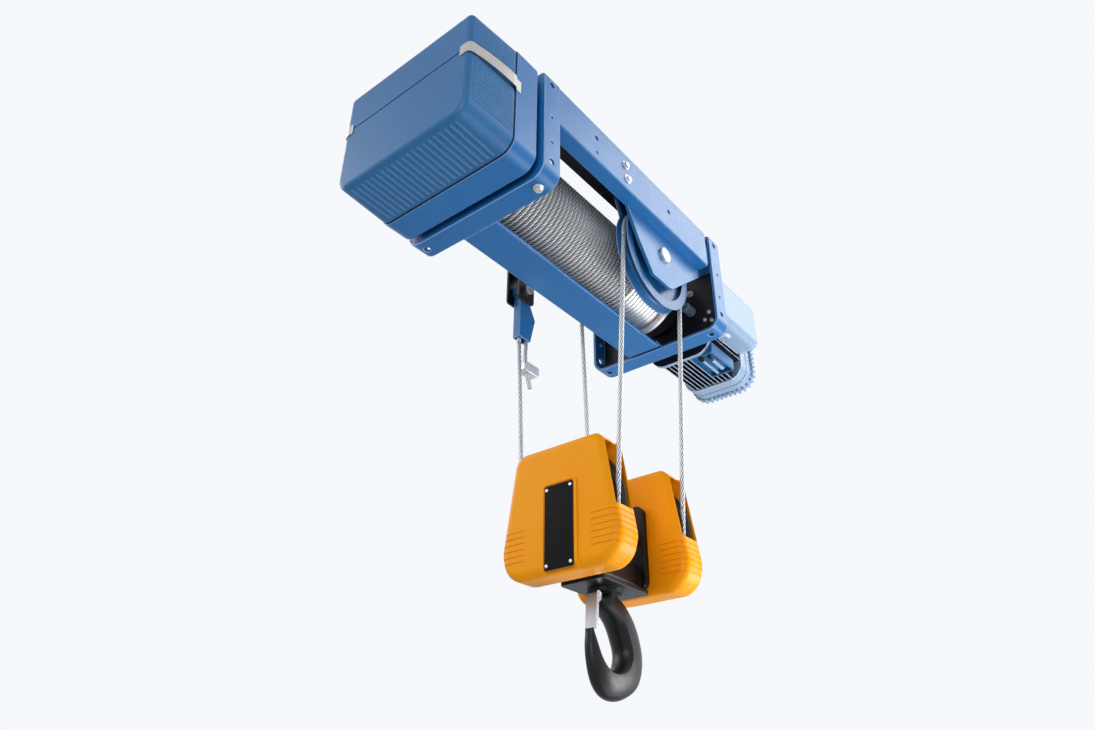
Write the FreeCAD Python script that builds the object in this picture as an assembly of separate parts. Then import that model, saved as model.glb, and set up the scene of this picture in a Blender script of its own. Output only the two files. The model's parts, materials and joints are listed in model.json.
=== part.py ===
import FreeCAD, Part
import math
import os

V = FreeCAD.Vector

# Low-headroom wire rope hoist, four falls, with a two-pulley hook block.
# Frame of the part: millimetres, +Z up, +X from the control box to the motor.
# The origin is the centre of the four mounting holes on top of the end plates.

# Whole hoist
frame_length = 700.0
frame_width = 422.0
frame_height = 319.0
rope_diameter = 12.5
running_gap = 0.3
slide_gap = 0.05
cut_overrun = 5.0

# End plates
plate_depth = 56.0
plate_wall = 8.0
plate_corner = 38.0
plate_top_corner = 14.0
plate_hole = 17.0
plate_small_hole = 9.0
plate_hole_shares = (0.0752, 0.8307)
plate_small_hole_shares = (0.4044, 0.6489)
plate_foot_spacing = 346.0
mount_hole = 22.0
mount_spacing_y = 300.0
window_radius = 62.0

# Beams
beam_top = 11.0
beam_height = 118.0
beam_depth = 40.0
beam_wall = 8.0
beam_end_gap = 25.0
beam_hole_radius = 7.0
beam_small_hole_radius = 4.5
# Places on the side beam as shares of the frame's length and of the beam's height
beam_hole_shares = ((0.2071, 0.373), (0.6786, 0.466))
beam_small_hole_shares = ((0.2071, 0.780),)
beam_bolt_shares = ((0.3829, 0.356), (0.3929, 0.712))
top_plate_reach = 79.0
top_plate_wall = 8.0
top_plate_end_gap = 12.0
cross_bar_offset = 332.0
cross_bar_width = 42.0
cross_bar_drop = 30.0
splice_length = 90.0
splice_height = 60.0
splice_wall = 8.0
bottom_left = 25.0
bottom_right = 80.0
bottom_wall = 8.0
bottom_lip = 26.0
bottom_end_gap = 12.0
bottom_radius = 6.0

# Drum
drum_y = 9.0
drum_drop = 160.0
drum_pitch_radius = 108.25
drum_wall = 14.0
drum_end_gap = 14.0
drum_motor_gap = 40.0
groove_pitch = 13.5
groove_depth = 4.0
bare_grooves = 10
modelled_turns = 20
wrap_end_gap = 191.0
wrap_sides = 6
quarter_points = 6
wrap_clearance = 0.15
hub_wall = 16.0
hub_boss = 48.0
hub_boss_length = 30.0
shaft_radius = 27.5
bearing_wall = 20.0
rim_height = 9.0
rim_width = 8.0

# Sheaves
sheave_pitch_radius = 136.0
sheave_lip = 10.0
sheave_web = 12.0
sheave_rim_wall = 9.0
sheave_hub = 34.0
sheave_hub_width = 44.0
sheave_edge = 2.5
groove_half_angle = 36.0
groove_fit = 0.4
sheave_end_gap = 216.0
sheave_y = 144.0
sheave_drop = 194.6
pin_radius = 20.0

# Upper sheave bracket
side_plate_wall = 10.0
side_plate_gap = 4.0
side_plate_offset = 320.0
nose_drop = 103.0
nose_left = 60.0
nose_right = 30.0
nose_return = 40.0
inner_plate_left = 130.0
inner_plate_right = 60.0
inner_plate_toe = 62.0
pin_head_radius = 22.0
pin_head_height = 9.0

# Lower block
block_y = 41.0
block_drop = 893.0
cover_half_depth = 42.0
cover_top = 152.0
cover_bottom = 152.0
cover_top_half = 128.0
cover_wide_half = 166.0
cover_wide_drop = 85.0
cover_bottom_half = 150.0
cover_wall = 4.0
cover_edge_radius = 20.0
cover_corner = 38.0
cover_low_corner = 56.0
cover_side_radius = 60.0
parting_gap = 0.6
slot_half_width = 33.0
slot_floor = 28.0
slot_reach = 60.0
rib_count = 6
rib_pitch = 14.0
rib_height = 11.0
rib_depth = 1.6
rib_top = 12.0
rib_inner = 92.0
border_width = 7.0
border_height = 2.5
border_gap = 3.0
load_plate_width = 80.0
load_plate_height = 194.0
load_plate_wall = 2.5
load_plate_radius = 6.0
load_plate_drop = 49.0
load_plate_shift = 7.0
axle_radius = 22.5
axle_overhang = 2.0

# Crosshead and hook
crosshead_gap = 0.5
cheek_wall = 17.0
cheek_half = 62.0
cheek_top = 62.0
cheek_radius = 22.0
crossbar_half = 46.0
crossbar_top = 84.0
crossbar_bottom = 142.0
foot_wall = 12.0
foot_half = 60.0
collar_wall = 17.0
collar_height = 8.5
shank_radius = 24.0
shank_gap = 0.3
thrust_outer = 44.0
thrust_race = 4.5
ball_radius = 3.0
ball_count = 16
nut_radius = 42.0
nut_height = 34.0
hook_drop = 274.0
throat_radius = 48.0
hook_base = 2.0

# Latch
latch_width = 30.0
latch_wall = 2.5
latch_pin_radius = 3.0
latch_ear = 9.0
latch_corner = 8.0
latch_gap = 11.5
latch_lug_radius = 6.2
latch_pivot_rise = 101.0
latch_tip_rise = 24.0
latch_tip_offset = 51.0

# Falls
anchor_y = 204.0
fall_end_gap = 1.2
bend_lead = 62.0

# Rope anchor, upright in the plane of the near pulley
anchor_wall = 7.0
anchor_gap = 34.0
anchor_half = 31.0
anchor_bottom = 262.0
anchor_corner = 10.0
anchor_pin_radius = 11.0
anchor_pin_offset = 5.0
anchor_pin_drop = 218.0
anchor_head_radius = 16.0
anchor_head_height = 8.0
socket_left = 12.0
socket_bottom = 372.0
socket_bottom_right = 33.0
socket_right = 52.0
socket_wide_drop = 295.0
socket_shoulder_drop = 244.0
socket_shoulder = 24.0
socket_half_depth = 12.0
socket_wall = 5.0
socket_eye_radius = 20.0
loop_radius = 15.0
loop_drop = 292.0
wedge_bottom = 352.0
fall_top = 384.0
tail_points = ((30.0, 366.0, 40.0), (26.0, 424.0, 40.0), (34.0, 466.0, 40.0), (50.0, 504.0, 0.0))
clamp_left = 14.0
clamp_right = 70.0
clamp_top = 438.0
clamp_bottom = 466.0
clamp_half_depth = 14.0
clamp_corner = 8.0

# Control box
box_y = 4.0
box_top = 2.0
box_bottom = 313.0
box_half_width = 207.0
box_top_sharper = 22.0
base_gap = 14.0
base_depth = 72.0
base_wall = 6.0
base_corner = 40.0
gasket_depth = 4.0
gasket_inset = 3.0
cover_depth = 136.0
cover_draft = 6.0
cover_shell_wall = 5.0
cover_shell_corner = 36.0
cover_shell_edge = 12.0
seam_drop = 122.0
seam_depth = 2.0
seam_width = 4.0
underside_rib_count = 21
underside_rib_width = 3.0
underside_rib_height = 2.0
underside_margin = 38.0
underside_front_gap = 22.0
underside_back_gap = 15.0
side_rib_counts = (9, 10)
side_rib_pitch = 7.5
side_rib_width = 3.5
side_rib_height = 1.5
side_rib_gap = 20.0
spacer_radius = 16.0
control_plate_wall = 3.0
control_plate_margin = 40.0
contactor_width = 45.0
contactor_height = 80.0
contactor_depth = 75.0
contactor_count = 5
contactor_pitch = 58.0

# Clips
clip_width = 26.0
clip_wall = 1.6
clip_hook = 15.0
clip_stand = 8.0
clip_roll = 2.4
clip_drop = 122.0

# Gearbox and motor
gearbox_left = 205.0
gearbox_top = 110.0
gearbox_bottom = 258.0
gearbox_length = 214.0
gearbox_corner = 24.0
gearbox_plate = 30.0
gearbox_foot_left = 165.0
gearbox_foot_right = 170.0
gearbox_foot_top = 40.0
gearbox_foot_bottom = 285.0
gearbox_lid = 10.0
gearbox_lid_inset = 3.0
gearbox_plug_radius = 17.0
gearbox_plug_height = 5.0
gearbox_plug_x = 92.0
gearbox_plug_y = 152.0
motor_y = 37.0
motor_drop = 225.0
motor_half = 96.0
motor_corner = 46.0
motor_core_radius = 78.0
motor_length = 196.0
fin_pitch = 14.0
fin_wall = 3.0
flange_wall = 12.0
end_ring_length = 34.0
fan_cover_length = 48.0
fan_cover_wall = 3.0
rim_tooth_depth = 7.0
rim_tooth_width = 7.0
rim_tooth_length = 20.0
rim_teeth = 44
grille_hole = 9.0
rotor_radius = 14.0
fan_hub = 22.0
fan_radius = 74.0
fan_blades = 8
fan_wall = 4.0
fan_width = 26.0
core_fin_shares = (0.177, 0.417)
# Circles of holes as shares of the fan's radius, with the count of holes on each
grille_shares = ((0.351, 8), (0.554, 14), (0.757, 20))

# Terminal box low on the motor's side
terminal_length = 132.0
terminal_left = 134.0
terminal_right = 60.0
terminal_top = 286.0
terminal_bottom = 325.0
terminal_corner = 6.0
terminal_wall = 4.0
terminal_recess = 14.0
gland_large = (9.0, 104.0)
gland_small = (5.5, 82.0)
gland_end_gap = 8.0

# Fasteners
bolt_head_radius = 10.5
bolt_head_height = 8.0

# Derived places
half_length = frame_length / 2
half_width = frame_width / 2
drum_z = -drum_drop
rope_radius = rope_diameter / 2
groove_floor = drum_pitch_radius - rope_radius
wrap_outer = drum_pitch_radius + rope_radius
wrap_radius = rope_radius - wrap_clearance
sheave_z = -sheave_drop
sheave_x = half_length - sheave_end_gap
sheave_rim = sheave_pitch_radius + sheave_lip
near_x = sheave_x - sheave_pitch_radius
rear_x = sheave_x + sheave_pitch_radius
block_z = -block_drop
hook_x = sheave_x
hook_z = block_z - hook_drop
wrap_end = half_length - wrap_end_gap
modelled_start = wrap_end - modelled_turns * groove_pitch
web_x = half_length + plate_depth
collar_bottom = block_z - crossbar_bottom - foot_wall - collar_height
thrust_floor = block_z - crossbar_top
gearbox_side = motor_y + motor_half + fin_wall


def to_space(axis, along, u, v):
    """A point from its place along an axis and its two other coordinates."""
    if axis == "x":
        return V(along, u, v)
    if axis == "y":
        return V(u, along, v)
    return V(u, v, along)


def direction(axis):
    return to_space(axis, 1.0, 0.0, 0.0)


def outline(points, axis, along):
    """A closed wire through (u, v, corner radius) points, corners as arcs."""
    edges = []
    corners = []
    count = len(points)
    for index, (u, v, radius) in enumerate(points):
        here = to_space(axis, along, u, v)
        before = to_space(axis, along, *points[index - 1][:2])
        after = to_space(axis, along, *points[(index + 1) % count][:2])
        if not radius:
            corners.append((here, None, here))
            continue
        back = (before - here).normalize()
        ahead = (after - here).normalize()
        half = back.getAngle(ahead) / 2
        reach = radius / math.tan(half)
        middle = (back + ahead).normalize()
        inner = here + middle * (radius / math.sin(half) - radius)
        corners.append((here + back * reach, inner, here + ahead * reach))
    for index, (start, inner, end) in enumerate(corners):
        if inner:
            edges.append(Part.Arc(start, inner, end).toShape())
        following = corners[(index + 1) % count][0]
        if end.distanceToPoint(following) > 1e-6:
            edges.append(Part.LineSegment(end, following).toShape())
    return Part.Wire(edges)


def slab(points, axis, start, end):
    """A flat piece: an outline pushed along its axis from start to end."""
    face = Part.Face(outline(points, axis, start))
    return face.extrude(direction(axis) * (end - start))


def box_between(x, y, z):
    return Part.makeBox(x[1] - x[0], y[1] - y[0], z[1] - z[0], V(x[0], y[0], z[0]))


def rod(axis, u, v, radius, start, end):
    foot = to_space(axis, min(start, end), u, v)
    return Part.makeCylinder(radius, abs(end - start), foot, direction(axis))


def ring(axis, u, v, outer, inner, start, end):
    low, high = min(start, end), max(start, end)
    bore = rod(axis, u, v, inner, low - cut_overrun, high + cut_overrun)
    return rod(axis, u, v, outer, low, high).cut(bore)


def rectangle(u, v, radius, top_radius=None):
    top = radius if top_radius is None else top_radius
    return [(u[0], v[0], radius), (u[1], v[0], radius), (u[1], v[1], top), (u[0], v[1], top)]


def mirrored(points):
    return [(-u, v, radius) for u, v, radius in reversed(points)]


def together(pieces):
    return pieces[0].fuse(pieces[1:]).removeSplitter() if len(pieces) > 1 else pieces[0]


def rounded(shape, radius, wanted):
    edges = [edge for edge in shape.Edges if wanted(edge)]
    return shape.makeFillet(radius, edges) if edges else shape


def flat_at(edge, axis, place):
    box = edge.BoundBox
    low, high = {"x": (box.XMin, box.XMax), "y": (box.YMin, box.YMax), "z": (box.ZMin, box.ZMax)}[axis]
    return abs(low - place) < slide_gap and abs(high - place) < slide_gap


# End plates

def end_plate(side):
    """A deep pressed plate: web outside, flange all round towards the drum."""
    inner_face = side * half_length
    web_face = side * web_x
    outer = rectangle((-half_width, half_width), (-frame_height, 0), plate_corner, plate_top_corner)
    inset = plate_wall
    inner = rectangle((inset - half_width, half_width - inset), (inset - frame_height, -inset),
                      plate_corner - inset, plate_top_corner - inset)
    plate = slab(outer, "x", inner_face, web_face)
    hollow_end = web_face - side * plate_wall
    plate = plate.cut(slab(inner, "x", inner_face - side * cut_overrun, hollow_end))
    middle = side * (half_length + plate_depth / 2)
    cuts = [rod("x", drum_y, drum_z, window_radius,
                web_face - side * plate_depth, web_face + side * cut_overrun)]
    for y in (-mount_spacing_y / 2, mount_spacing_y / 2):
        cuts.append(rod("z", middle, y, mount_hole / 2, -plate_wall * 2, cut_overrun))
    for y_side in (-1, 1):
        inside, outside = y_side * (half_width - plate_wall * 2), y_side * (half_width + cut_overrun)
        for share in plate_hole_shares:
            cuts.append(rod("y", middle, -share * frame_height, plate_hole / 2, inside, outside))
        for share in plate_small_hole_shares:
            cuts.append(rod("y", middle, -share * frame_height, plate_small_hole / 2, inside, outside))
        cuts.append(rod("z", middle, y_side * plate_foot_spacing / 2, plate_hole / 2,
                        -frame_height - cut_overrun, plate_wall * 2 - frame_height))
    return plate.cut(cuts)


# Beams

def channel(y_side, x_start, x_end):
    """A rolled channel with its back outside."""
    back = y_side * half_width
    toe = y_side * (half_width - beam_depth)
    low, high = -beam_top - beam_height, -beam_top
    inner = y_side * (half_width - beam_wall)
    shape = box_between((x_start, x_end), sorted((back, toe)), (low, high))
    hollow = box_between((x_start - cut_overrun, x_end + cut_overrun),
                         sorted((inner, toe - y_side * cut_overrun)), (low + beam_wall, high - beam_wall))
    shape = shape.cut(hollow)
    return rounded(shape, beam_wall / 2, lambda edge: edge.Length > frame_length / 2
                   and flat_at(edge, "y", back))


def beam_places(shares):
    return [(along * frame_length - half_length, -beam_top - down * beam_height) for along, down in shares]


def side_beam():
    beam = channel(-1, -half_length, half_length - beam_end_gap)
    cuts = []
    for shares, radius in ((beam_hole_shares, beam_hole_radius),
                           (beam_small_hole_shares, beam_small_hole_radius)):
        for x, z in beam_places(shares):
            cuts.append(rod("y", x, z, radius, -half_width - cut_overrun, beam_wall * 2 - half_width))
    return beam.cut(cuts)


def rear_beam():
    return channel(1, -half_length, half_length)


def top_plate():
    """The wide plate on the side beam's inner side, with a cross bar under it."""
    outer = beam_wall - half_width
    low = -beam_top - beam_wall - top_plate_wall
    plate = box_between((-half_length, half_length - top_plate_end_gap), (outer, -top_plate_reach),
                        (low, -beam_top - beam_wall))
    left = cross_bar_offset - half_length
    bar = box_between((left, left + cross_bar_width), (outer, -top_plate_reach - top_plate_wall),
                      (-cross_bar_drop - top_plate_wall, low))
    return together([plate, bar])


def beam_splice():
    """The tongue that joins the short end of the side beam to the far end plate."""
    inner = beam_wall - half_width
    middle = -beam_top - beam_height / 2
    half = splice_height / 2
    end = web_x - plate_wall
    tongue = box_between((end - splice_length - plate_depth, end), (inner, inner + splice_wall),
                         (middle - half, middle + half))
    foot = box_between((end - splice_wall, end), (inner, inner + splice_height),
                       (middle - half, middle + half))
    return together([tongue, foot])


def bottom_beam():
    top = bottom_wall - frame_height
    across = (-bottom_left, bottom_right)
    start, end = -half_length, half_length - bottom_end_gap
    plate = box_between((start, end), across, (-frame_height, top))
    lip = box_between((start, end), (bottom_right - bottom_wall, bottom_right),
                      (-frame_height, top + bottom_lip))
    shelf = box_between((end - bottom_wall, half_length + plate_depth / 2), across,
                        (top, top + bottom_wall))
    beam = together([plate, lip, shelf])
    return rounded(beam, bottom_radius, lambda edge: edge.Length > frame_length / 2
                   and flat_at(edge, "z", -frame_height))


# Upper sheave and its bracket

def groove_half_width(radius):
    """Half the width of a rope groove at a radius from the sheave's axis."""
    seat = rope_radius + groove_fit
    rise = radius - sheave_pitch_radius
    slope = math.tan(math.radians(groove_half_angle))
    return seat / math.cos(math.radians(groove_half_angle)) + rise * slope


def sheave(axis, u, v, middle, bore):
    """A grooved rope pulley with a recessed web and a hub."""
    lip_half = groove_half_width(sheave_rim)
    rim_half = lip_half + sheave_edge
    seat = rope_radius + groove_fit
    floor = sheave_pitch_radius - seat
    under = floor - sheave_rim_wall
    web = sheave_web / 2
    hub = sheave_hub_width / 2
    half_angle = math.radians(groove_half_angle)
    turn = seat * math.cos(half_angle)
    shoulder = sheave_pitch_radius - seat * math.sin(half_angle)
    profile = [(-hub, bore), (hub, bore), (hub, sheave_hub), (web, sheave_hub), (web, under),
               (rim_half, under), (rim_half, sheave_rim), (lip_half, sheave_rim), (turn, shoulder)]
    left = [(-a, r) for a, r in reversed(profile[2:])]
    points = {"x": lambda a, r: V(middle + a, u, v + r), "y": lambda a, r: V(u + r, middle + a, v)}[axis]
    edges = []
    for first, second in zip(profile, profile[1:]):
        edges.append(Part.LineSegment(points(*first), points(*second)).toShape())
    edges.append(Part.Arc(points(turn, shoulder), points(0, floor), points(-turn, shoulder)).toShape())
    for first, second in zip(left, left[1:] + profile[:1]):
        edges.append(Part.LineSegment(points(*first), points(*second)).toShape())
    foot = to_space(axis, middle, u, v)
    return Part.Face(Part.Wire(edges)).revolve(foot, direction(axis), 360)


def upper_sheave():
    return sheave("y", sheave_x, sheave_z, -sheave_y, pin_radius + slide_gap)


def side_plate_outline():
    """The hanging plate: a long sloping edge, a round nose and a short return edge."""
    top = -beam_top - beam_height
    nose = sheave_z - nose_drop + side_plate_wall
    end = half_length - beam_end_gap
    return [(side_plate_offset - half_length, top, 0),
            (near_x + rope_diameter, sheave_z - side_plate_wall, sheave_rim),
            (sheave_x - nose_left, nose, side_plate_wall),
            (sheave_x + nose_right, nose, nose_right),
            (end, sheave_z + nose_return, side_plate_wall),
            (end, top, 0)]


def outer_sheave_plate():
    hub = sheave_hub_width / 2
    inner_face = -sheave_y - hub - side_plate_gap
    plate = slab(side_plate_outline(), "y", inner_face - side_plate_wall, inner_face)
    return plate.cut(rod("y", sheave_x, sheave_z, pin_radius, -half_width, inner_face + cut_overrun))


def inner_sheave_plate():
    """The inner hanging plate, welded under the top plate."""
    hub = sheave_hub_width / 2
    face = -sheave_y + hub + running_gap
    back = face + side_plate_wall
    top = -beam_top - beam_wall - top_plate_wall
    half = sheave_hub + side_plate_wall
    points = [(sheave_x - inner_plate_left, top, 0), (sheave_x - half, sheave_z - inner_plate_toe, half),
              (sheave_x + half, sheave_z - inner_plate_toe, half), (sheave_x + inner_plate_right, top, 0)]
    bore = rod("y", sheave_x, sheave_z, pin_radius, face - cut_overrun, back + cut_overrun)
    bar = cross_bar_offset - half_length
    notch = box_between((bar - slide_gap, bar + cross_bar_width + slide_gap),
                        (face - cut_overrun, back + cut_overrun),
                        (-cross_bar_drop - top_plate_wall - slide_gap, top + cut_overrun))
    return slab(points, "y", face, back).cut([bore, notch])


def sheave_pin():
    hub = sheave_hub_width / 2
    inner = -sheave_y + hub + running_gap + side_plate_wall
    outer = -sheave_y - hub - side_plate_gap - side_plate_wall
    pin = rod("y", sheave_x, sheave_z, pin_radius, outer, inner)
    head = hex_head("y", sheave_x, sheave_z, outer - pin_head_height, outer, pin_head_radius)
    return together([pin, head])


# Drum

def drum_shell():
    """The drum barrel, grooved where no rope lies, with a rim at each end."""
    start = -half_length - plate_depth + plate_wall + drum_end_gap
    end = half_length - drum_motor_gap
    bore = groove_floor - drum_wall
    top = groove_floor + groove_depth
    profile = [(start, bore), (start, wrap_outer + rim_height), (start + rim_width, wrap_outer + rim_height),
               (start + rim_width, groove_floor), (wrap_end + groove_pitch, groove_floor)]
    radius = (groove_pitch * groove_pitch / 4 + groove_depth * groove_depth) / (2 * groove_depth)
    lines = [V(a, drum_y, drum_z + r) for a, r in profile]
    edges = [Part.LineSegment(a, b).toShape() for a, b in zip(lines, lines[1:])]
    edges.append(Part.LineSegment(lines[-1], lines[-1] + V(0, 0, groove_depth)).toShape())
    here = wrap_end + groove_pitch
    for _ in range(bare_grooves):
        first = V(here, drum_y, drum_z + top)
        low = V(here + groove_pitch / 2, drum_y, drum_z + groove_floor)
        last = V(here + groove_pitch, drum_y, drum_z + top)
        edges.append(Part.Arc(first, low, last).toShape())
        here += groove_pitch
    tail = [V(here, drum_y, drum_z + top), V(end - rim_width, drum_y, drum_z + top),
            V(end - rim_width, drum_y, drum_z + wrap_outer + rim_height),
            V(end, drum_y, drum_z + wrap_outer + rim_height), V(end, drum_y, drum_z + bore), lines[0]]
    edges += [Part.LineSegment(a, b).toShape() for a, b in zip(tail, tail[1:])]
    return Part.Face(Part.Wire(edges)).revolve(V(0, drum_y, drum_z), V(1, 0, 0), 360)


def drum_ends():
    return (-half_length - plate_depth + plate_wall + drum_end_gap, half_length - drum_motor_gap)


def drum_hubs():
    start, end = drum_ends()
    outer = groove_floor - drum_wall
    hubs = []
    for face, inward in ((start, 1), (end, -1)):
        disc = ring("x", drum_y, drum_z, outer, shaft_radius, face, face + inward * hub_wall)
        boss = ring("x", drum_y, drum_z, hub_boss, shaft_radius, face, face + inward * hub_boss_length)
        hubs.append(together([disc, boss]))
    return Part.makeCompound(hubs)


def drum_shaft():
    return rod("x", drum_y, drum_z, shaft_radius, -web_x - plate_wall, web_x + gearbox_plate / 2)


def drum_bearings():
    """Flanged bearing housings in the windows of both end plates."""
    rings = []
    for side in (-1, 1):
        web = side * web_x
        inner = web - side * plate_wall
        bore = shaft_radius + slide_gap
        body = ring("x", drum_y, drum_z, window_radius, bore, inner, web)
        flange = ring("x", drum_y, drum_z, window_radius + bearing_wall, bore, inner,
                      inner - side * plate_wall)
        rings.append(together([body, flange]))
    return Part.makeCompound(rings)


def winding_spot(step):
    """A point of the winding after a number of quarter turns from its start."""
    angle = -math.pi / 2 * step
    return V(modelled_start + groove_pitch * step / 4,
             drum_y + drum_pitch_radius * math.cos(angle),
             drum_z + drum_pitch_radius * math.sin(angle))


def winding():
    """The path of the wraps: quarter-turn arcs with a straight run at both ends."""
    quarters = modelled_turns * 4
    arcs = [Part.Arc(winding_spot(step), winding_spot(step + 0.5), winding_spot(step + 1)).toShape()
            for step in range(quarters)]
    start, end = winding_spot(0), winding_spot(quarters)
    lead = arcs[0].tangentAt(arcs[0].FirstParameter)
    trail = arcs[-1].tangentAt(arcs[-1].LastParameter)
    first = Part.LineSegment(start - lead * rope_diameter, start).toShape()
    last = Part.LineSegment(end, end + trail * rope_diameter).toShape()
    return Part.Wire([first] + arcs + [last])


def polygon_section(centre, normal, radius, sides):
    """A regular section square to a direction, with a flat towards the drum's axis."""
    first = V(0, -normal.z, normal.y).normalize()
    second = normal.cross(first)
    corners = []
    for step in range(sides + 1):
        angle = 2 * math.pi * (step + 1 / 2) / sides
        corners.append(centre + first * (radius * math.cos(angle)) + second * (radius * math.sin(angle)))
    return Part.makePolygon(corners)


def least_turn_gap(wire):
    """The least clear space between neighbouring turns, from points on the path."""
    spots = []
    for edge in wire.Edges[1:-1]:
        span = (edge.LastParameter - edge.FirstParameter) / quarter_points
        spots += [edge.valueAt(edge.FirstParameter + span * step) for step in range(quarter_points)]
    turn = 4 * quarter_points
    shifts = range(turn - quarter_points // 2, turn + quarter_points // 2 + 1)
    least = min((spots[index] - spots[index + shift]).Length
                for index in range(len(spots) - shifts[-1]) for shift in shifts)
    return least - 2 * wrap_radius


def rope_wraps():
    """The outer turns of rope on the drum, one unbroken faceted tube."""
    path = winding()
    first = path.Edges[0]
    section = polygon_section(first.valueAt(first.FirstParameter),
                              first.tangentAt(first.FirstParameter), wrap_radius, wrap_sides)
    shell = Part.BRepOffsetAPI.MakePipeShell(path)
    shell.add(section)
    shell.build()
    shell.makeSolid()
    print("least gap between turns", round(least_turn_gap(path), 3))
    return shell.shape()


def rope_core():
    """The plain sleeve under the rest of the rope pack."""
    start = drum_ends()[0] + rim_width
    end = modelled_start - groove_pitch / 2
    return ring("x", drum_y, drum_z, wrap_outer, groove_floor, start, end)


# Rope falls and bends

def rope_run(start, end):
    line = end - start
    return Part.makeCylinder(rope_radius, line.Length, start, line)


def rope_bend(edges, start, normal):
    """A bent stretch of rope along joined edges, its section square to the first."""
    section = Part.Wire(Part.makeCircle(rope_radius, start, normal))
    return Part.Wire(edges).makePipeShell([section], True, False)


def shortened(start, end, gap):
    line = (end - start).normalize()
    return start + line * gap, end - line * gap


def fall_start(x, side):
    """Where a fall hangs from: the upper sheave, the rope anchor or the drum."""
    if side < 0:
        return V(x, -sheave_y, sheave_z)
    if x == near_x:
        return V(x, anchor_y, -fall_top)
    lead = groove_pitch / (2 * math.pi * drum_pitch_radius) * rope_diameter
    return V(wrap_end + lead, drum_y + drum_pitch_radius, drum_z - rope_diameter)


def rim_point(x, angle):
    return V(x, block_y + sheave_pitch_radius * math.cos(angle),
             block_z + sheave_pitch_radius * math.sin(angle))


def touch_angle(x, side):
    """The angle round a lower pulley at which a fall meets it squarely."""
    start = fall_start(x, side)
    rise, across = start.z - block_z, start.y - block_y
    swing = math.acos(sheave_pitch_radius / math.hypot(rise, across))
    return math.atan2(rise, across) - side * swing


def upward(angle, side):
    """The direction in which the rope leaves a lower pulley."""
    return V(0, -math.sin(angle), math.cos(angle)) * side


def lead_point(x, side):
    """The end of the straight stretch by which a bend reaches above its pulley."""
    angle = touch_angle(x, side)
    return rim_point(x, angle) + upward(angle, side) * bend_lead


def fall(x, side):
    """A stretch of rope between the frame and the bend round a pulley of the block."""
    return rope_run(*shortened(fall_start(x, side), lead_point(x, side), fall_end_gap))


def upper_bend():
    centre = V(sheave_x, -sheave_y, sheave_z)
    reach = V(sheave_pitch_radius, 0, 0)
    arc = Part.Arc(centre - reach, centre + V(0, 0, sheave_pitch_radius), centre + reach)
    return rope_bend([arc.toShape()], centre - reach, V(0, 0, 1))


def lower_bend(x):
    first, last = touch_angle(x, 1), touch_angle(x, -1) - 2 * math.pi
    start, end = lead_point(x, 1), lead_point(x, -1)
    down, up = rim_point(x, first), rim_point(x, last)
    edges = [Part.LineSegment(start, down).toShape(),
             Part.Arc(down, rim_point(x, (first + last) / 2), up).toShape(),
             Part.LineSegment(up, end).toShape()]
    return rope_bend(edges, start, -upward(first, 1))


# Block covers

def cover_outline(inset):
    """The pulley cover's face: narrow top, wide low sides, round corners."""
    top = cover_top - inset
    low = -cover_bottom + inset
    right = [(cover_bottom_half - inset, low, cover_low_corner - inset),
             (cover_wide_half - inset, -cover_wide_drop, cover_side_radius - inset),
             (cover_top_half - inset, top, cover_corner - inset)]
    return right + mirrored(right)


def shifted(points):
    return [(u + block_y, v + block_z, radius) for u, v, radius in points]


def cover_form(inset, base, face, edge_radius):
    """A closed cover form from the parting plane out to its face."""
    form = slab(shifted(cover_outline(inset)), "x", base, face)
    return rounded(form, edge_radius, lambda edge: flat_at(edge, "x", face))


def cover_half(middle, side, with_border):
    """One half shell of a pulley cover, with rope slots and grip ribs."""
    base = middle + side * parting_gap / 2
    face = middle + side * cover_half_depth
    shell = cover_form(0.0, base, face, cover_edge_radius)
    hollow = cover_form(cover_wall, base - side * cut_overrun, face - side * cover_wall,
                        cover_edge_radius - cover_wall)
    shell = shell.cut(hollow)
    for y_side in (-1, 1):
        wall = block_y + y_side * cover_wide_half
        inner = wall - y_side * slot_reach
        shell = shell.cut(box_between(sorted((base - side * cut_overrun, middle + side * slot_half_width)),
                                      sorted((inner, wall + y_side * cut_overrun)),
                                      (block_z - slot_floor, block_z + cover_top + cut_overrun)))
    skin = cover_form(rib_depth, base - side * cut_overrun, face - side * rib_depth,
                      cover_edge_radius - rib_depth)
    grooves = []
    for y_side in (-1, 1):
        outer = block_y + y_side * (cover_wide_half + cut_overrun)
        inner = block_y + y_side * rib_inner
        for step in range(rib_count):
            high = block_z - rib_top - slot_floor - step * rib_pitch
            grooves.append(box_between(sorted((base - side * cut_overrun, face + side * cut_overrun)),
                                       sorted((inner, outer)), (high - rib_pitch + rib_height, high)))
    shell = shell.cut(Part.makeCompound(grooves).cut(skin))
    if with_border:
        shell = together([shell, plate_border(base, face, side).cut(hollow)])
    else:
        shell = shell.cut(rod("x", block_y, block_z, axle_radius, base, face + side * cut_overrun))
    return shell


def plate_frame(margin):
    half = load_plate_width / 2 + margin
    high = load_plate_height / 2 + margin
    middle = block_z - load_plate_drop
    across = block_y - load_plate_shift
    return rectangle((across - half, across + half), (middle - high, middle + high),
                     load_plate_radius + margin)


def plate_border(base, face, side):
    """The raised rim round the load plate, which follows the cover's rounded edge."""
    outer = slab(plate_frame(border_gap + border_width), "x", face - side * cover_edge_radius,
                 face + side * cover_wall)
    inner = slab(plate_frame(border_gap), "x", base, face + side * cover_half_depth)
    return outer.cut(inner).common(cover_form(0.0, base, face + side * border_height, cover_edge_radius))


def load_plates():
    plates = []
    for middle, side in ((near_x, -1), (rear_x, 1)):
        face = middle + side * cover_half_depth
        plates.append(slab(plate_frame(0.0), "x", face, face + side * load_plate_wall))
    return Part.makeCompound(plates)


# Crosshead, axle and hook

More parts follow.
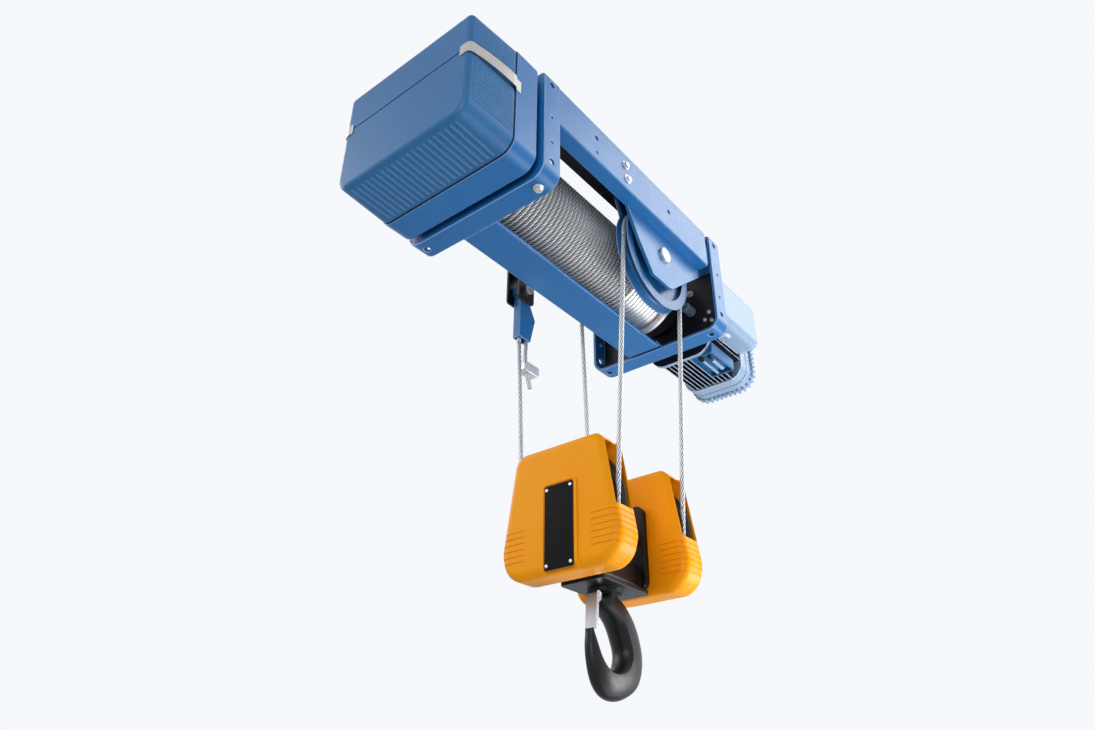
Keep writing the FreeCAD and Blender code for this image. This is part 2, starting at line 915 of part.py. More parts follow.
def crosshead_faces():
    return (near_x + cover_half_depth + crosshead_gap, rear_x - cover_half_depth - crosshead_gap)


def crosshead():
    """Two cheeks round the axle, joined low down by the bar that carries the hook."""
    left, right = crosshead_faces()
    low = block_z - crossbar_bottom
    cheek = rectangle((block_y - cheek_half, block_y + cheek_half), (low, block_z + cheek_top), cheek_radius)
    pieces = [slab(cheek, "x", left, left + cheek_wall), slab(cheek, "x", right - cheek_wall, right)]
    bar = rectangle((block_y - crossbar_half, block_y + crossbar_half),
                    (low, block_z - crossbar_top), cheek_radius / 2)
    pieces.append(slab(bar, "x", left + cheek_wall / 2, right - cheek_wall / 2))
    foot = rectangle((left, right), (block_y - foot_half, block_y + foot_half), cheek_radius / 2)
    pieces.append(slab(foot, "z", low - foot_wall, low))
    pieces.append(rod("z", hook_x, block_y, shank_radius + collar_wall, collar_bottom, low))
    bore = rod("x", block_y, block_z, axle_radius, left - cut_overrun, right + cut_overrun)
    eye = rod("z", hook_x, block_y, shank_radius + shank_gap, collar_bottom - cut_overrun,
              thrust_floor + cut_overrun)
    return together(pieces).cut([bore, eye])


def pulley_axle():
    reach = sheave_hub_width / 2 + axle_overhang
    return rod("x", block_y, block_z, axle_radius, near_x - reach, rear_x + reach)


def thrust_bearing():
    """The lower race and the balls that the hook nut turns on."""
    race = ring("z", hook_x, block_y, thrust_outer, shank_radius + slide_gap, thrust_floor,
                thrust_floor + thrust_race)
    circle = (thrust_outer + shank_radius) / 2
    pieces = [race]
    for step in range(ball_count):
        angle = 2 * math.pi * step / ball_count
        pieces.append(Part.makeSphere(ball_radius, V(hook_x + circle * math.cos(angle),
                                                     block_y + circle * math.sin(angle),
                                                     thrust_floor + thrust_race + ball_radius)))
    return Part.makeCompound(pieces)


def nut_floor():
    return thrust_floor + thrust_race + 2 * ball_radius


def hook_nut():
    low = nut_floor()
    washer = ring("z", hook_x, block_y, thrust_outer, shank_radius, low, low + thrust_race)
    body = ring("z", hook_x, block_y, nut_radius, shank_radius, low, low + thrust_race + nut_height)
    return together([washer, body])


# Hook sections from under the neck round to the tip, as shares of the throat
# radius from the bowl's centre: inside x and z, outside x and z, and the width
hook_section_shares = (
    (-0.56, 1.62, 1.25, 2.08, 1.12),
    (0.00, 1.29, 1.60, 1.79, 1.18),
    (0.46, 0.90, 1.98, 1.37, 1.21),
    (0.79, 0.29, 2.35, 0.71, 1.21),
    (0.96, -0.17, 2.56, -0.08, 1.21),
    (0.87, -0.58, 2.50, -0.83, 1.21),
    (0.58, -0.90, 2.08, -1.62, 1.19),
    (0.17, -1.06, 1.33, -2.10, 1.17),
    (-0.17, -1.06, 0.46, -2.37, 1.12),
    (-0.46, -0.94, -0.42, -2.29, 1.06),
    (-0.71, -0.73, -0.96, -1.87, 0.96),
    (-0.90, -0.42, -1.27, -1.29, 0.83),
    (-1.04, -0.06, -1.44, -0.67, 0.71),
    (-1.17, 0.27, -1.48, -0.06, 0.58),
    (-1.29, 0.56, -1.44, 0.50, 0.46),
)
section_height_shares = (0.20, 0.55, 0.86)
section_width_shares = (1.0, 0.90, 0.62)


def hook_section(near, far, width):
    """An egg-shaped closed section of four arcs, wide inside and narrow outside."""
    side = V(0, width / 2, 0)
    line = far - near
    low, middle, high = (near + line * share for share in section_height_shares)
    broad, cheek, slim = (side * share for share in section_width_shares)
    edges = [Part.Arc(low + broad, near, low - broad).toShape(),
             Part.Arc(low - broad, middle - cheek, high - slim).toShape(),
             Part.Arc(high - slim, far, high + slim).toShape(),
             Part.Arc(high + slim, middle + cheek, low + broad).toShape()]
    return Part.Wire(edges)


def round_section(centre, radius):
    """A circle of four arcs that start where those of the hook's sections do."""
    spots = [centre + V(radius * math.cos(math.radians(45 * step)),
                        radius * math.sin(math.radians(45 * step)), 0) for step in range(8)]
    order = (3, 4, 5), (5, 6, 7), (7, 0, 1), (1, 2, 3)
    return Part.Wire([Part.Arc(*(spots[index] for index in arc)).toShape() for arc in order])


def hook():
    """The forged hook: a round neck that swells round the throat and tapers to its tip."""
    bowl = V(hook_x, block_y, hook_z)
    top = V(hook_x, block_y, collar_bottom - hook_base)
    sections = [round_section(top, shank_radius)]
    for near_share, near_rise, far_share, far_rise, width_share in hook_section_shares:
        near = bowl + V(near_share, 0, near_rise) * throat_radius
        far = bowl + V(far_share, 0, far_rise) * throat_radius
        sections.append(hook_section(near, far, width_share * throat_radius))
    body = Part.makeLoft(sections, True, False)
    shank = rod("z", hook_x, block_y, shank_radius, top.z, nut_floor() + thrust_race + nut_height)
    return together([body, shank] + latch_lug())


def latch_pivot():
    return V(hook_x - shank_radius - latch_ear - latch_gap, block_y, hook_z + latch_pivot_rise)


def latch_lug():
    """The lug on the hook's neck that carries the latch's pin."""
    pivot = latch_pivot()
    half = latch_width / 2 - latch_wall - running_gap
    across = (block_y - half, block_y + half)
    arm = box_between((pivot.x, hook_x), across, (pivot.z - latch_lug_radius, pivot.z + latch_lug_radius))
    eye = rod("y", pivot.x, pivot.z, latch_lug_radius, *across)
    bore = rod("y", pivot.x, pivot.z, latch_pin_radius, across[0] - cut_overrun, across[1] + cut_overrun)
    return [arm.fuse(eye).cut(bore)]


def latch_frame():
    """The latch's pivot, its direction towards the tip and the one square to it."""
    pivot = latch_pivot()
    tip = V(hook_x - latch_tip_offset, block_y, hook_z + latch_tip_rise)
    line = (tip - pivot).normalize()
    return pivot, line, V(line.z, 0, -line.x), (tip - pivot).Length


def latch():
    """The sheet-metal safety latch, a channel from its pivot down to the tip."""
    pivot, line, out, length = latch_frame()
    half = latch_width / 2

    def form(corners, reach):
        spots = [(pivot + line * along + out * across, radius) for along, across, radius in corners]
        return slab([(spot.x, spot.z, radius) for spot, radius in spots], "y",
                    block_y - reach, block_y + reach)

    beyond = latch_ear + cut_overrun
    body = form([(-latch_ear, -latch_ear, latch_corner), (latch_ear, -latch_ear, 0),
                 (2 * latch_ear, 0, 0), (length, 0, 0), (length, latch_ear, 0),
                 (-latch_ear, latch_ear, latch_corner)], half)
    inside = form([(-beyond, -beyond, 0), (length + beyond, -beyond, 0),
                   (length + beyond, latch_ear - latch_wall, 0), (-beyond, latch_ear - latch_wall, 0)],
                  half - latch_wall)
    bore = rod("y", pivot.x, pivot.z, latch_pin_radius + slide_gap, block_y - latch_width,
               block_y + latch_width)
    return body.cut([inside, bore])


def latch_pin():
    pivot = latch_pivot()
    return rod("y", pivot.x, pivot.z, latch_pin_radius, block_y - latch_width / 2 - latch_wall,
               block_y + latch_width / 2 + latch_wall)


# Rope anchor

def anchor_bracket():
    """A plate under the rear beam with two hanging cheeks for the anchor's pin."""
    top = -beam_top - beam_height
    pieces = []
    outer = anchor_gap / 2 + anchor_wall
    for y_side in (-1, 1):
        face = anchor_y + y_side * anchor_gap / 2
        points = rectangle((near_x - anchor_half, near_x + anchor_half), (-anchor_bottom, top),
                           anchor_corner, 0)
        pieces.append(slab(points, "y", face, face + y_side * anchor_wall))
    pieces.append(box_between((near_x - anchor_half, near_x + anchor_half),
                              (anchor_y - outer, anchor_y + outer), (top - anchor_wall, top)))
    pin = rod("y", near_x + anchor_pin_offset, -anchor_pin_drop, anchor_pin_radius,
              anchor_y - half_width, anchor_y + half_width)
    return together(pieces).cut(pin)


def anchor_pin():
    """The anchor's pin with a round head outside each cheek."""
    outer = anchor_gap / 2 + anchor_wall
    x = near_x + anchor_pin_offset
    pieces = [rod("y", x, -anchor_pin_drop, anchor_pin_radius, anchor_y - outer, anchor_y + outer)]
    for y_side in (-1, 1):
        face = anchor_y + y_side * outer
        pieces.append(rod("y", x, -anchor_pin_drop, anchor_head_radius, face,
                          face + y_side * anchor_head_height))
    return together(pieces)


def socket_outline(inset):
    left = near_x - socket_left + inset
    return [(left, -socket_bottom - inset, 0),
            (near_x + socket_bottom_right - inset, -socket_bottom - inset, 0),
            (near_x + socket_right - inset, -socket_wide_drop, socket_wall),
            (near_x + socket_shoulder - inset, -socket_shoulder_drop - inset, socket_wall),
            (left, -socket_shoulder_drop - inset, socket_wall)]


def wedge_socket():
    """A cast socket with a pocket for the rope's loop and an eye on the anchor's pin."""
    front, back = anchor_y - socket_half_depth, anchor_y + socket_half_depth
    x = near_x + anchor_pin_offset
    half = anchor_gap / 2 - running_gap
    body = slab(socket_outline(0), "y", front, back)
    pocket = slab(socket_outline(socket_wall), "y", front + socket_wall, back - socket_wall)
    neck = box_between((x - anchor_pin_radius, x + anchor_pin_radius), (front, back),
                       (-socket_shoulder_drop - socket_wall, -anchor_pin_drop))
    eye = rod("y", x, -anchor_pin_drop, socket_eye_radius, anchor_y - half, anchor_y + half)
    bore = rod("y", x, -anchor_pin_drop, anchor_pin_radius, front - half, back + half)
    return together([body.cut(pocket), neck, eye]).cut([bore, anchor_rope(rope_radius + running_gap)])


def wedge():
    """The round-headed wedge that the rope's loop is drawn over."""
    across = near_x + loop_radius
    inner = loop_radius - rope_radius - running_gap
    thick = socket_half_depth - socket_wall - running_gap
    head = rod("y", across, -loop_drop, inner, anchor_y - thick, anchor_y + thick)
    body = box_between((across - inner, across + inner), (anchor_y - thick, anchor_y + thick),
                       (-wedge_bottom, -loop_drop))
    return together([head, body])


def open_route(points):
    """A wire through (u, z, corner radius) points in the plane of the rope anchor."""
    spots = [V(near_x + u, anchor_y, -drop) for u, drop, _ in points]
    edges = []
    here = spots[0]
    for index in range(1, len(points) - 1):
        corner = spots[index]
        back = (spots[index - 1] - corner).normalize()
        ahead = (spots[index + 1] - corner).normalize()
        half = back.getAngle(ahead) / 2
        radius = points[index][2]
        reach = radius / math.tan(half)
        inner = corner + (back + ahead).normalize() * (radius / math.sin(half) - radius)
        edges.append(Part.LineSegment(here, corner + back * reach).toShape())
        edges.append(Part.Arc(corner + back * reach, inner, corner + ahead * reach).toShape())
        here = corner + ahead * reach
    edges.append(Part.LineSegment(here, spots[-1]).toShape())
    return edges


def anchor_rope(radius=rope_radius):
    """The held end of the rope: up into the socket, over the wedge and out as a tail."""
    start = V(near_x, anchor_y, -fall_top)
    rise = V(near_x, anchor_y, -loop_drop)
    turn = V(near_x + loop_radius, anchor_y, loop_radius - loop_drop)
    down = V(near_x + 2 * loop_radius, anchor_y, -loop_drop)
    edges = [Part.LineSegment(start, rise).toShape(), Part.Arc(rise, turn, down).toShape()]
    edges += open_route(((2 * loop_radius, loop_drop, 0),) + tail_points)
    section = Part.Wire(Part.makeCircle(radius, start, V(0, 0, 1)))
    return Part.Wire(edges).makePipeShell([section], True, False)


def tail_clamp():
    """The clamp that keeps the rope's tail from slipping back."""
    points = rectangle((near_x + clamp_left, near_x + clamp_right), (-clamp_bottom, -clamp_top),
                       clamp_corner)
    body = slab(points, "y", anchor_y - clamp_half_depth, anchor_y + clamp_half_depth)
    return body.cut(anchor_rope())


# Control box

def box_outline(inset, corner, sharper=box_top_sharper):
    """The box seen along the drum: wide round corners below, sharper ones on top."""
    return rectangle((box_y - box_half_width + inset, box_y + box_half_width - inset),
                     (-box_bottom + inset, -box_top - inset), corner, corner - sharper)


def cover_faces():
    back = -web_x - base_gap - base_depth - gasket_depth
    return back, back - cover_depth


def enclosure_base():
    """The deep tray that is bolted to the near end plate."""
    back = -web_x - base_gap
    front = back - base_depth
    tray = slab(box_outline(0.0, base_corner), "x", front, back)
    inner = slab(box_outline(base_wall, base_corner - base_wall), "x", front - cut_overrun, back - base_wall)
    tray = rounded(tray, base_wall, lambda edge: flat_at(edge, "x", back)).cut(inner)
    spacers = []
    for y_side in (-1, 1):
        for z in (-box_top - base_corner, -box_bottom + base_corner):
            spacers.append(rod("x", box_y + y_side * (box_half_width - base_corner), z, spacer_radius,
                               back - base_wall, -web_x))
    return together([tray] + spacers)


def enclosure_gasket():
    front = -web_x - base_gap - base_depth
    outer = slab(box_outline(gasket_inset, base_corner - gasket_inset), "x", front - gasket_depth, front)
    inner = slab(box_outline(gasket_inset + base_wall, base_corner - gasket_inset - base_wall), "x",
                 front - gasket_depth - cut_overrun, front + cut_overrun)
    return outer.cut(inner)


def tapered(inset_back, inset_front, corner, back, front):
    wires = [outline(box_outline(inset_back, corner), "x", back),
             outline(box_outline(inset_front, corner), "x", front)]
    return Part.makeLoft(wires, True, True)


def enclosure_cover():
    """The deep moulded lid with draft, a seam line and ribs below and at the sides."""
    back, front = cover_faces()
    shell = tapered(gasket_inset, gasket_inset + cover_draft, cover_shell_corner, back, front)
    shell = rounded(shell, cover_shell_edge, lambda edge: flat_at(edge, "x", front))
    inner_inset = gasket_inset + cover_shell_wall
    inner_corner = cover_shell_corner - cover_shell_wall
    hollow = tapered(inner_inset, inner_inset + cover_draft, inner_corner,
                     back + cut_overrun, front + cover_shell_wall)
    seam = box_between((front - cut_overrun, front + seam_depth), (-frame_width, frame_width),
                       (-seam_drop - seam_width / 2, -seam_drop + seam_width / 2))
    return together([shell.cut([hollow, seam])] + underside_ribs() + side_ribs(-1) + side_ribs(1))


def draft_shift(x):
    """How far the lid's sides have drawn in at a place along its depth."""
    back, _ = cover_faces()
    return gasket_inset + cover_draft * (back - x) / cover_depth


def underside_ribs():
    """Thin straight ribs from front to back under the lid."""
    back, front = cover_faces()
    start, end = front + underside_front_gap, back - underside_back_gap
    left = underside_margin + gasket_inset + cover_draft - box_half_width
    step = -2 * left / (underside_rib_count - 1)
    face = [(start, -box_bottom + draft_shift(start)), (end, -box_bottom + draft_shift(end))]
    points = [(x, z - underside_rib_height, 0) for x, z in face]
    points += [(x, z + cover_shell_wall / 2, 0) for x, z in reversed(face)]
    ribs = []
    for index in range(underside_rib_count):
        y = box_y + left + index * step
        ribs.append(slab(points, "y", y - underside_rib_width / 2, y + underside_rib_width / 2))
    return ribs


def side_ribs(y_side):
    """Level ribs on one side of the lid, above and below the clip's strap."""
    back, front = cover_faces()
    start, end = front + underside_front_gap, back - underside_back_gap
    face = [(start, box_half_width - draft_shift(start)), (end, box_half_width - draft_shift(end))]
    points = [(x, box_y + y_side * (reach + side_rib_height), 0) for x, reach in face]
    points += [(x, box_y + y_side * (reach - cover_shell_wall / 2), 0) for x, reach in reversed(face)]
    above, below = side_rib_counts
    levels = [-clip_drop + side_rib_gap + side_rib_pitch * step for step in range(above)]
    levels += [-clip_drop - side_rib_gap - side_rib_pitch * step for step in range(below)]
    return [slab(points, "z", level - side_rib_width / 2, level + side_rib_width / 2)
            for level in levels]


def control_gear():
    """The mounting plate in the box with its row of contactors."""
    back = -web_x - base_gap - base_wall
    face = back - control_plate_wall
    pieces = [slab(box_outline(control_plate_margin, base_corner / 2, 0), "x", face, back)]
    middle = -(box_top + box_bottom) / 2
    for index in range(contactor_count):
        y = box_y + (index - (contactor_count - 1) / 2) * contactor_pitch
        pieces.append(box_between((face - contactor_depth, face),
                                  (y - contactor_width / 2, y + contactor_width / 2),
                                  (middle, middle + contactor_height)))
    return Part.makeCompound(pieces)


def clip(y_side):
    """A spring strap with a rolled end at the base that hooks over the lid's front corner."""
    _, front = cover_faces()
    rim = -web_x - base_gap - base_depth
    lean = box_half_width - gasket_inset - cover_draft
    stand = box_half_width + running_gap
    corner = front - 2 * running_gap
    plan = [(rim + base_wall * 2, stand), (rim, stand), (rim - clip_stand, stand + clip_stand / 2),
            (front + cover_shell_edge, lean + clip_stand / 2),
            (corner, lean - cover_shell_edge / 2), (corner, lean - cover_shell_edge - clip_hook)]
    points = [V(x, box_y + y_side * reach, 0) for x, reach in plan]
    low = -clip_drop - clip_width / 2
    band = strap(points, clip_wall, low, clip_width, y_side)
    across = box_y + y_side * (stand + clip_roll)
    roll = rod("z", rim + base_wall * 2, across, clip_roll, low, low + clip_width)
    return together([band, roll])


def strap(points, wall, low, width, side):
    """A thin band along a chain of points in plan, offset to its outer side."""
    outer = []
    for index, here in enumerate(points):
        before = points[max(index - 1, 0)]
        after = points[min(index + 1, len(points) - 1)]
        line = (after - before).normalize()
        normal = V(line.y, -line.x, 0) * side
        outer.append(here + normal * wall)
    ring_points = [V(p.x, p.y, low) for p in points] + [V(p.x, p.y, low) for p in reversed(outer)]
    face = Part.Face(Part.makePolygon(ring_points + ring_points[:1]))
    return face.extrude(V(0, 0, width))


# Gearbox and motor

def gearbox_outline(inset):
    return [(inset - gearbox_left, inset - gearbox_bottom, gearbox_corner - inset),
            (-gearbox_side - inset, inset - gearbox_bottom, 0),
            (-gearbox_side - inset, -gearbox_top - inset, 0),
            (inset - gearbox_left, -gearbox_top - inset, gearbox_corner - inset)]


def gearbox_housing():
    """A cast box beside the motor on a broad foot plate, with a plug below."""
    start = web_x
    foot = rectangle((-gearbox_foot_left, gearbox_foot_right), (-gearbox_foot_bottom, -gearbox_foot_top),
                     gearbox_corner)
    pieces = [slab(foot, "x", start, start + gearbox_plate),
              slab(gearbox_outline(0), "x", start, start + gearbox_length - gearbox_lid),
              rod("z", start + gearbox_plug_x, -gearbox_plug_y, gearbox_plug_radius,
                  -gearbox_bottom - gearbox_plug_height, gearbox_plate - gearbox_bottom)]
    shaft = rod("x", drum_y, drum_z, shaft_radius + slide_gap, start - cut_overrun,
                start + gearbox_plate / 2 + running_gap)
    return together(pieces).cut(shaft)


def gearbox_cover():
    start = web_x + gearbox_length - gearbox_lid
    return slab(gearbox_outline(gearbox_lid_inset), "x", start, start + gearbox_lid)


def motor_outline(inset):
    half = motor_half - inset
    return rectangle((-motor_y - half, -motor_y + half), (-motor_drop - half, -motor_drop + half),
                     motor_corner - inset)


def motor_start():
    return web_x + gearbox_plate


def motor_housing():
    """A round stator body inside straight parallel cooling fins."""
    start = motor_start()
    end = start + motor_length
    core = rod("x", -motor_y, -motor_drop, motor_core_radius, start, end)
    fins = []
    count = int((2 * motor_half - motor_corner) / fin_pitch)
    for index in range(count):
        y = -motor_y + (index - (count - 1) / 2) * fin_pitch
        fins.append(box_between((start, end), (y - fin_wall / 2, y + fin_wall / 2),
                                (-motor_drop - motor_half, -motor_drop + motor_half)))
    for share in core_fin_shares:
        for z_side in (-1, 1):
            z = z_side * share * motor_half - motor_drop
            fins.append(box_between((start, end), (-motor_y - motor_half, -motor_y + motor_half),
                                    (z - fin_wall / 2, z + fin_wall / 2)))
    form = slab(motor_outline(0.0), "x", start, end)
    body = core.fuse([fin.common(form) for fin in fins])
    flange = slab(motor_outline(-fin_wall), "x", start, start + flange_wall)
    bore = rod("x", -motor_y, -motor_drop, rotor_radius + slide_gap, start + flange_wall, end + cut_overrun)
    return body.fuse(flange).cut([bore, terminal_form(0.0)]).removeSplitter()


def motor_end_ring():
    start = motor_start() + motor_length
    shape = slab(motor_outline(-fin_wall), "x", start, start + end_ring_length)
    bore = rod("x", -motor_y, -motor_drop, rotor_radius + slide_gap, start - cut_overrun,
               start + end_ring_length + cut_overrun)
    return shape.cut(bore)


def fan_cover():
    """A deep cover with a castellated rim and a holed end."""
    start = motor_start() + motor_length + end_ring_length
    end = start + fan_cover_length
    shell = slab(motor_outline(-fin_wall), "x", start, end)
    hollow = slab(motor_outline(fan_cover_wall), "x", start - cut_overrun, end - fan_cover_wall)
    shell = shell.cut(hollow)
    teeth = []
    for index in range(rim_teeth):
        angle = 2 * math.pi * index / rim_teeth
        tooth = box_between((end - rim_tooth_length, end), (-rim_tooth_width / 2, rim_tooth_width / 2),
                            (motor_core_radius, 2 * motor_half))
        tooth.rotate(V(0, 0, 0), V(1, 0, 0), math.degrees(angle))
        tooth.translate(V(0, -motor_y, -motor_drop))
        teeth.append(tooth)
    band = slab(motor_outline(-fin_wall - rim_tooth_depth), "x", end - rim_tooth_length, end)
    band = band.cut(slab(motor_outline(0.0), "x", start, end + cut_overrun))
    teeth = [tooth.common(band) for tooth in teeth]
    shell = shell.fuse(teeth)
    holes = []
    for share, count in grille_shares:
        circle = share * fan_radius
        for index in range(count):
            angle = 2 * math.pi * index / count
            holes.append(rod("x", circle * math.cos(angle) - motor_y, circle * math.sin(angle) - motor_drop,
                             grille_hole / 2, end - fan_cover_wall * 2, end + cut_overrun))
    return shell.cut(holes).removeSplitter()


def motor_shaft():
    start = motor_start() + flange_wall + running_gap
    end = motor_start() + motor_length + end_ring_length + fan_width + fan_cover_wall
    return rod("x", -motor_y, -motor_drop, rotor_radius, start, end)


def fan():
    start = motor_start() + motor_length + end_ring_length + fan_cover_wall
    end = start + fan_width
    hub = rod("x", -motor_y, -motor_drop, fan_hub, start, end)
    disc = rod("x", -motor_y, -motor_drop, fan_radius, start, start + fan_wall)
    blades = []
    for index in range(fan_blades):
        blade = box_between((start, end), (-fan_wall / 2, fan_wall / 2), (rotor_radius, fan_radius))
        blade.rotate(V(0, 0, 0), V(1, 0, 0), 360 / fan_blades * index)
        blade.translate(V(0, -motor_y, -motor_drop))
        blades.append(blade)
    shape = hub.fuse([disc] + blades)
    return shape.cut(rod("x", -motor_y, -motor_drop, rotor_radius, start - cut_overrun,
                         end + cut_overrun)).removeSplitter()


def terminal_form(inset):
    start = motor_start() + flange_wall
    across = (inset - terminal_left, -terminal_right - inset)
    return slab(rectangle(across, (-terminal_bottom, -terminal_top), terminal_corner), "x",
                start + inset, start + terminal_length - inset)


def terminal_box():
    """A shallow box under the motor's side, open below, with two glands in it."""
    floor = terminal_recess - terminal_bottom
    start = motor_start() + flange_wall
    recess = box_between((start + terminal_wall, start + terminal_length - terminal_wall),
                         (terminal_wall - terminal_left, -terminal_right - terminal_wall),
                         (-terminal_bottom - cut_overrun, floor))
    glands = [rod("x", -across, floor + radius / 2, radius, start + gland_end_gap,
                  start + terminal_length - gland_end_gap) for radius, across in (gland_large, gland_small)]
    return together([terminal_form(0.0).cut(recess)] + glands)


# Fasteners

def hex_head(axis, u, v, start, end, radius):
    corners = []
    for step in range(6):
        angle = math.radians(60) * step
        corners.append((u + radius * math.cos(angle), v + radius * math.sin(angle), 0))
    return slab(corners, axis, start, end)


def frame_bolts():
    """The bolts' heads on the side beam and under the near plate's foot."""
    outer = -half_width
    heads = [hex_head("y", x, z, outer - bolt_head_height, outer, bolt_head_radius)
             for x, z in beam_places(beam_bolt_shares)]
    middle = half_length + plate_depth / 2
    low = -frame_height
    for x in (-middle, middle):
        heads.append(hex_head("z", x, -plate_foot_spacing / 2, low - bolt_head_height, low,
                              bolt_head_radius))
    return Part.makeCompound(heads)


nodes = {
    "near_end_plate": lambda: end_plate(-1),
    "far_end_plate": lambda: end_plate(1),
    "side_beam": side_beam,
    "rear_beam": rear_beam,
    "beam_splice": beam_splice,
    "bottom_beam": bottom_beam,
    "outer_sheave_plate": outer_sheave_plate,
    "inner_sheave_plate": inner_sheave_plate,
    "sheave_pin": sheave_pin,
    "top_plate": top_plate,
    "upper_sheave": upper_sheave,
    "drum_shell": drum_shell,
    "drum_hubs": drum_hubs,
    "drum_shaft": drum_shaft,
    "drum_bearings": drum_bearings,
    "rope_wraps": rope_wraps,
    "rope_core": rope_core,
    "fall_near": lambda: fall(near_x, -1),
    "fall_rear": lambda: fall(rear_x, -1),
    "fall_anchor": lambda: fall(near_x, 1),
    "fall_drum": lambda: fall(rear_x, 1),
    "upper_rope_bend": upper_bend,
    "near_rope_bend": lambda: lower_bend(near_x),
    "rear_rope_bend": lambda: lower_bend(rear_x),
    "near_pulley": lambda: sheave("x", block_y, block_z, near_x, axle_radius + slide_gap),
    "rear_pulley": lambda: sheave("x", block_y, block_z, rear_x, axle_radius + slide_gap),
    "near_cover_front": lambda: cover_half(near_x, -1, True),
    "near_cover_back": lambda: cover_half(near_x, 1, False),
    "rear_cover_front": lambda: cover_half(rear_x, -1, False),
    "rear_cover_back": lambda: cover_half(rear_x, 1, True),
    "load_plates": load_plates,
    "crosshead": crosshead,
    "pulley_axle": pulley_axle,
    "thrust_bearing": thrust_bearing,
    "hook_nut": hook_nut,
    "hook": hook,
    "latch": latch,
    "latch_pin": latch_pin,
    "anchor_bracket": anchor_bracket,
    "anchor_pin": anchor_pin,
    "wedge_socket": wedge_socket,
    "wedge": wedge,
    "anchor_rope": anchor_rope,
    "tail_clamp": tail_clamp,
    "enclosure_base": enclosure_base,
    "enclosure_gasket": enclosure_gasket,
    "enclosure_cover": enclosure_cover,
    "control_gear": control_gear,
    "right_clip": lambda: clip(-1),
    "left_clip": lambda: clip(1),
    "gearbox_housing": gearbox_housing,
    "gearbox_cover": gearbox_cover,
    "motor_housing": motor_housing,
    "motor_end_ring": motor_end_ring,
    "fan_cover": fan_cover,
    "motor_shaft": motor_shaft,
    "fan": fan,
    "terminal_box": terminal_box,
    "frame_bolts": frame_bolts,
}


def build():
    os.makedirs("parts", exist_ok=True)
    for name, make in nodes.items():
        shape = make()
        if not shape.isValid():
            print("not valid:", name)
        print(name, len(shape.Solids), round(shape.Volume))
        shape.exportStep("parts/" + name + ".step")


build()
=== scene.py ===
import bmesh
import bpy
import json
import math
from mathutils import Matrix, Vector

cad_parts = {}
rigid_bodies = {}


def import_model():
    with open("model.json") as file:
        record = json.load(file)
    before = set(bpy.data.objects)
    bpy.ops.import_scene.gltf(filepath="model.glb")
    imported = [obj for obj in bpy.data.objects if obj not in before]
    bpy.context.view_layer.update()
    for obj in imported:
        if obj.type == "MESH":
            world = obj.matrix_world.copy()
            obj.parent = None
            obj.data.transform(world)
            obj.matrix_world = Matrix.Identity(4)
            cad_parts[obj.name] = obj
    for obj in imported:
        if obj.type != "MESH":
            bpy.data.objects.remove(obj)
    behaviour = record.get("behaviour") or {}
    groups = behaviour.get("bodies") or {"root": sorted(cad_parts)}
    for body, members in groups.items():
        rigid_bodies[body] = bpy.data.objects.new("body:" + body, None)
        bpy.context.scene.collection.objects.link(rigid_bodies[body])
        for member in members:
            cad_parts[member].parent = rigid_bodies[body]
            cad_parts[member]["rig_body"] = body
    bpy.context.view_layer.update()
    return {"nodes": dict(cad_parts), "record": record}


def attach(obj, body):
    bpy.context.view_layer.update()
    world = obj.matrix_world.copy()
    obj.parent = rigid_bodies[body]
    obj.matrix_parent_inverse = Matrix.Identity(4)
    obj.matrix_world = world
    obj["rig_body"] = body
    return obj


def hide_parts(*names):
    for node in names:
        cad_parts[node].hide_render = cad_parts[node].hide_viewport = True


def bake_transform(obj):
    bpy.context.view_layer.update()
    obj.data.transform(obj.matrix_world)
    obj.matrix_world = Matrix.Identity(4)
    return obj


# Low-headroom wire rope hoist, seen from below its control box.
# Metres, in the part's own frame: +Z up, +X from the control box to the motor.

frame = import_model()
nodes = frame["nodes"]

# Places shared with the solids
rope_radius = 0.00625
drum_axis = (0.009, -0.160)
drum_pitch_radius = 0.10825
groove_pitch = 0.0135
wrap_end = 0.159
sheave_reach = 0.136
sheave_centre = Vector((0.134, -0.144, -0.1946))
near_x, rear_x = -0.002, 0.270
block_y, block_z = 0.041, -0.893
bend_lead = 0.062
anchor_y, fall_top = 0.204, -0.384
loop_radius = 0.015
box_middle = 0.004
motor_axis = (-0.037, -0.225)

# Values of the scene's own rope and small parts
turns_wound = 39
rope_lay = 0.084
run_spacing = 0.007
crease = math.radians(38)


# Materials

class Signal:
    """A value in a finish that can be used in sums."""

    def __init__(self, finish, socket):
        self.finish, self.socket = finish, socket

    def sum(self, operation, first, second):
        return self.finish.node("ShaderNodeMath", {"operation": operation}, {0: first, 1: second})

    def __add__(self, other):
        return self.sum("ADD", self, other)

    def __sub__(self, other):
        return self.sum("SUBTRACT", self, other)

    def __rsub__(self, other):
        return self.sum("SUBTRACT", other, self)

    def __mul__(self, other):
        return self.sum("MULTIPLY", self, other)

    def __gt__(self, other):
        return self.sum("GREATER_THAN", self, other)

    __radd__, __rmul__ = __add__, __mul__


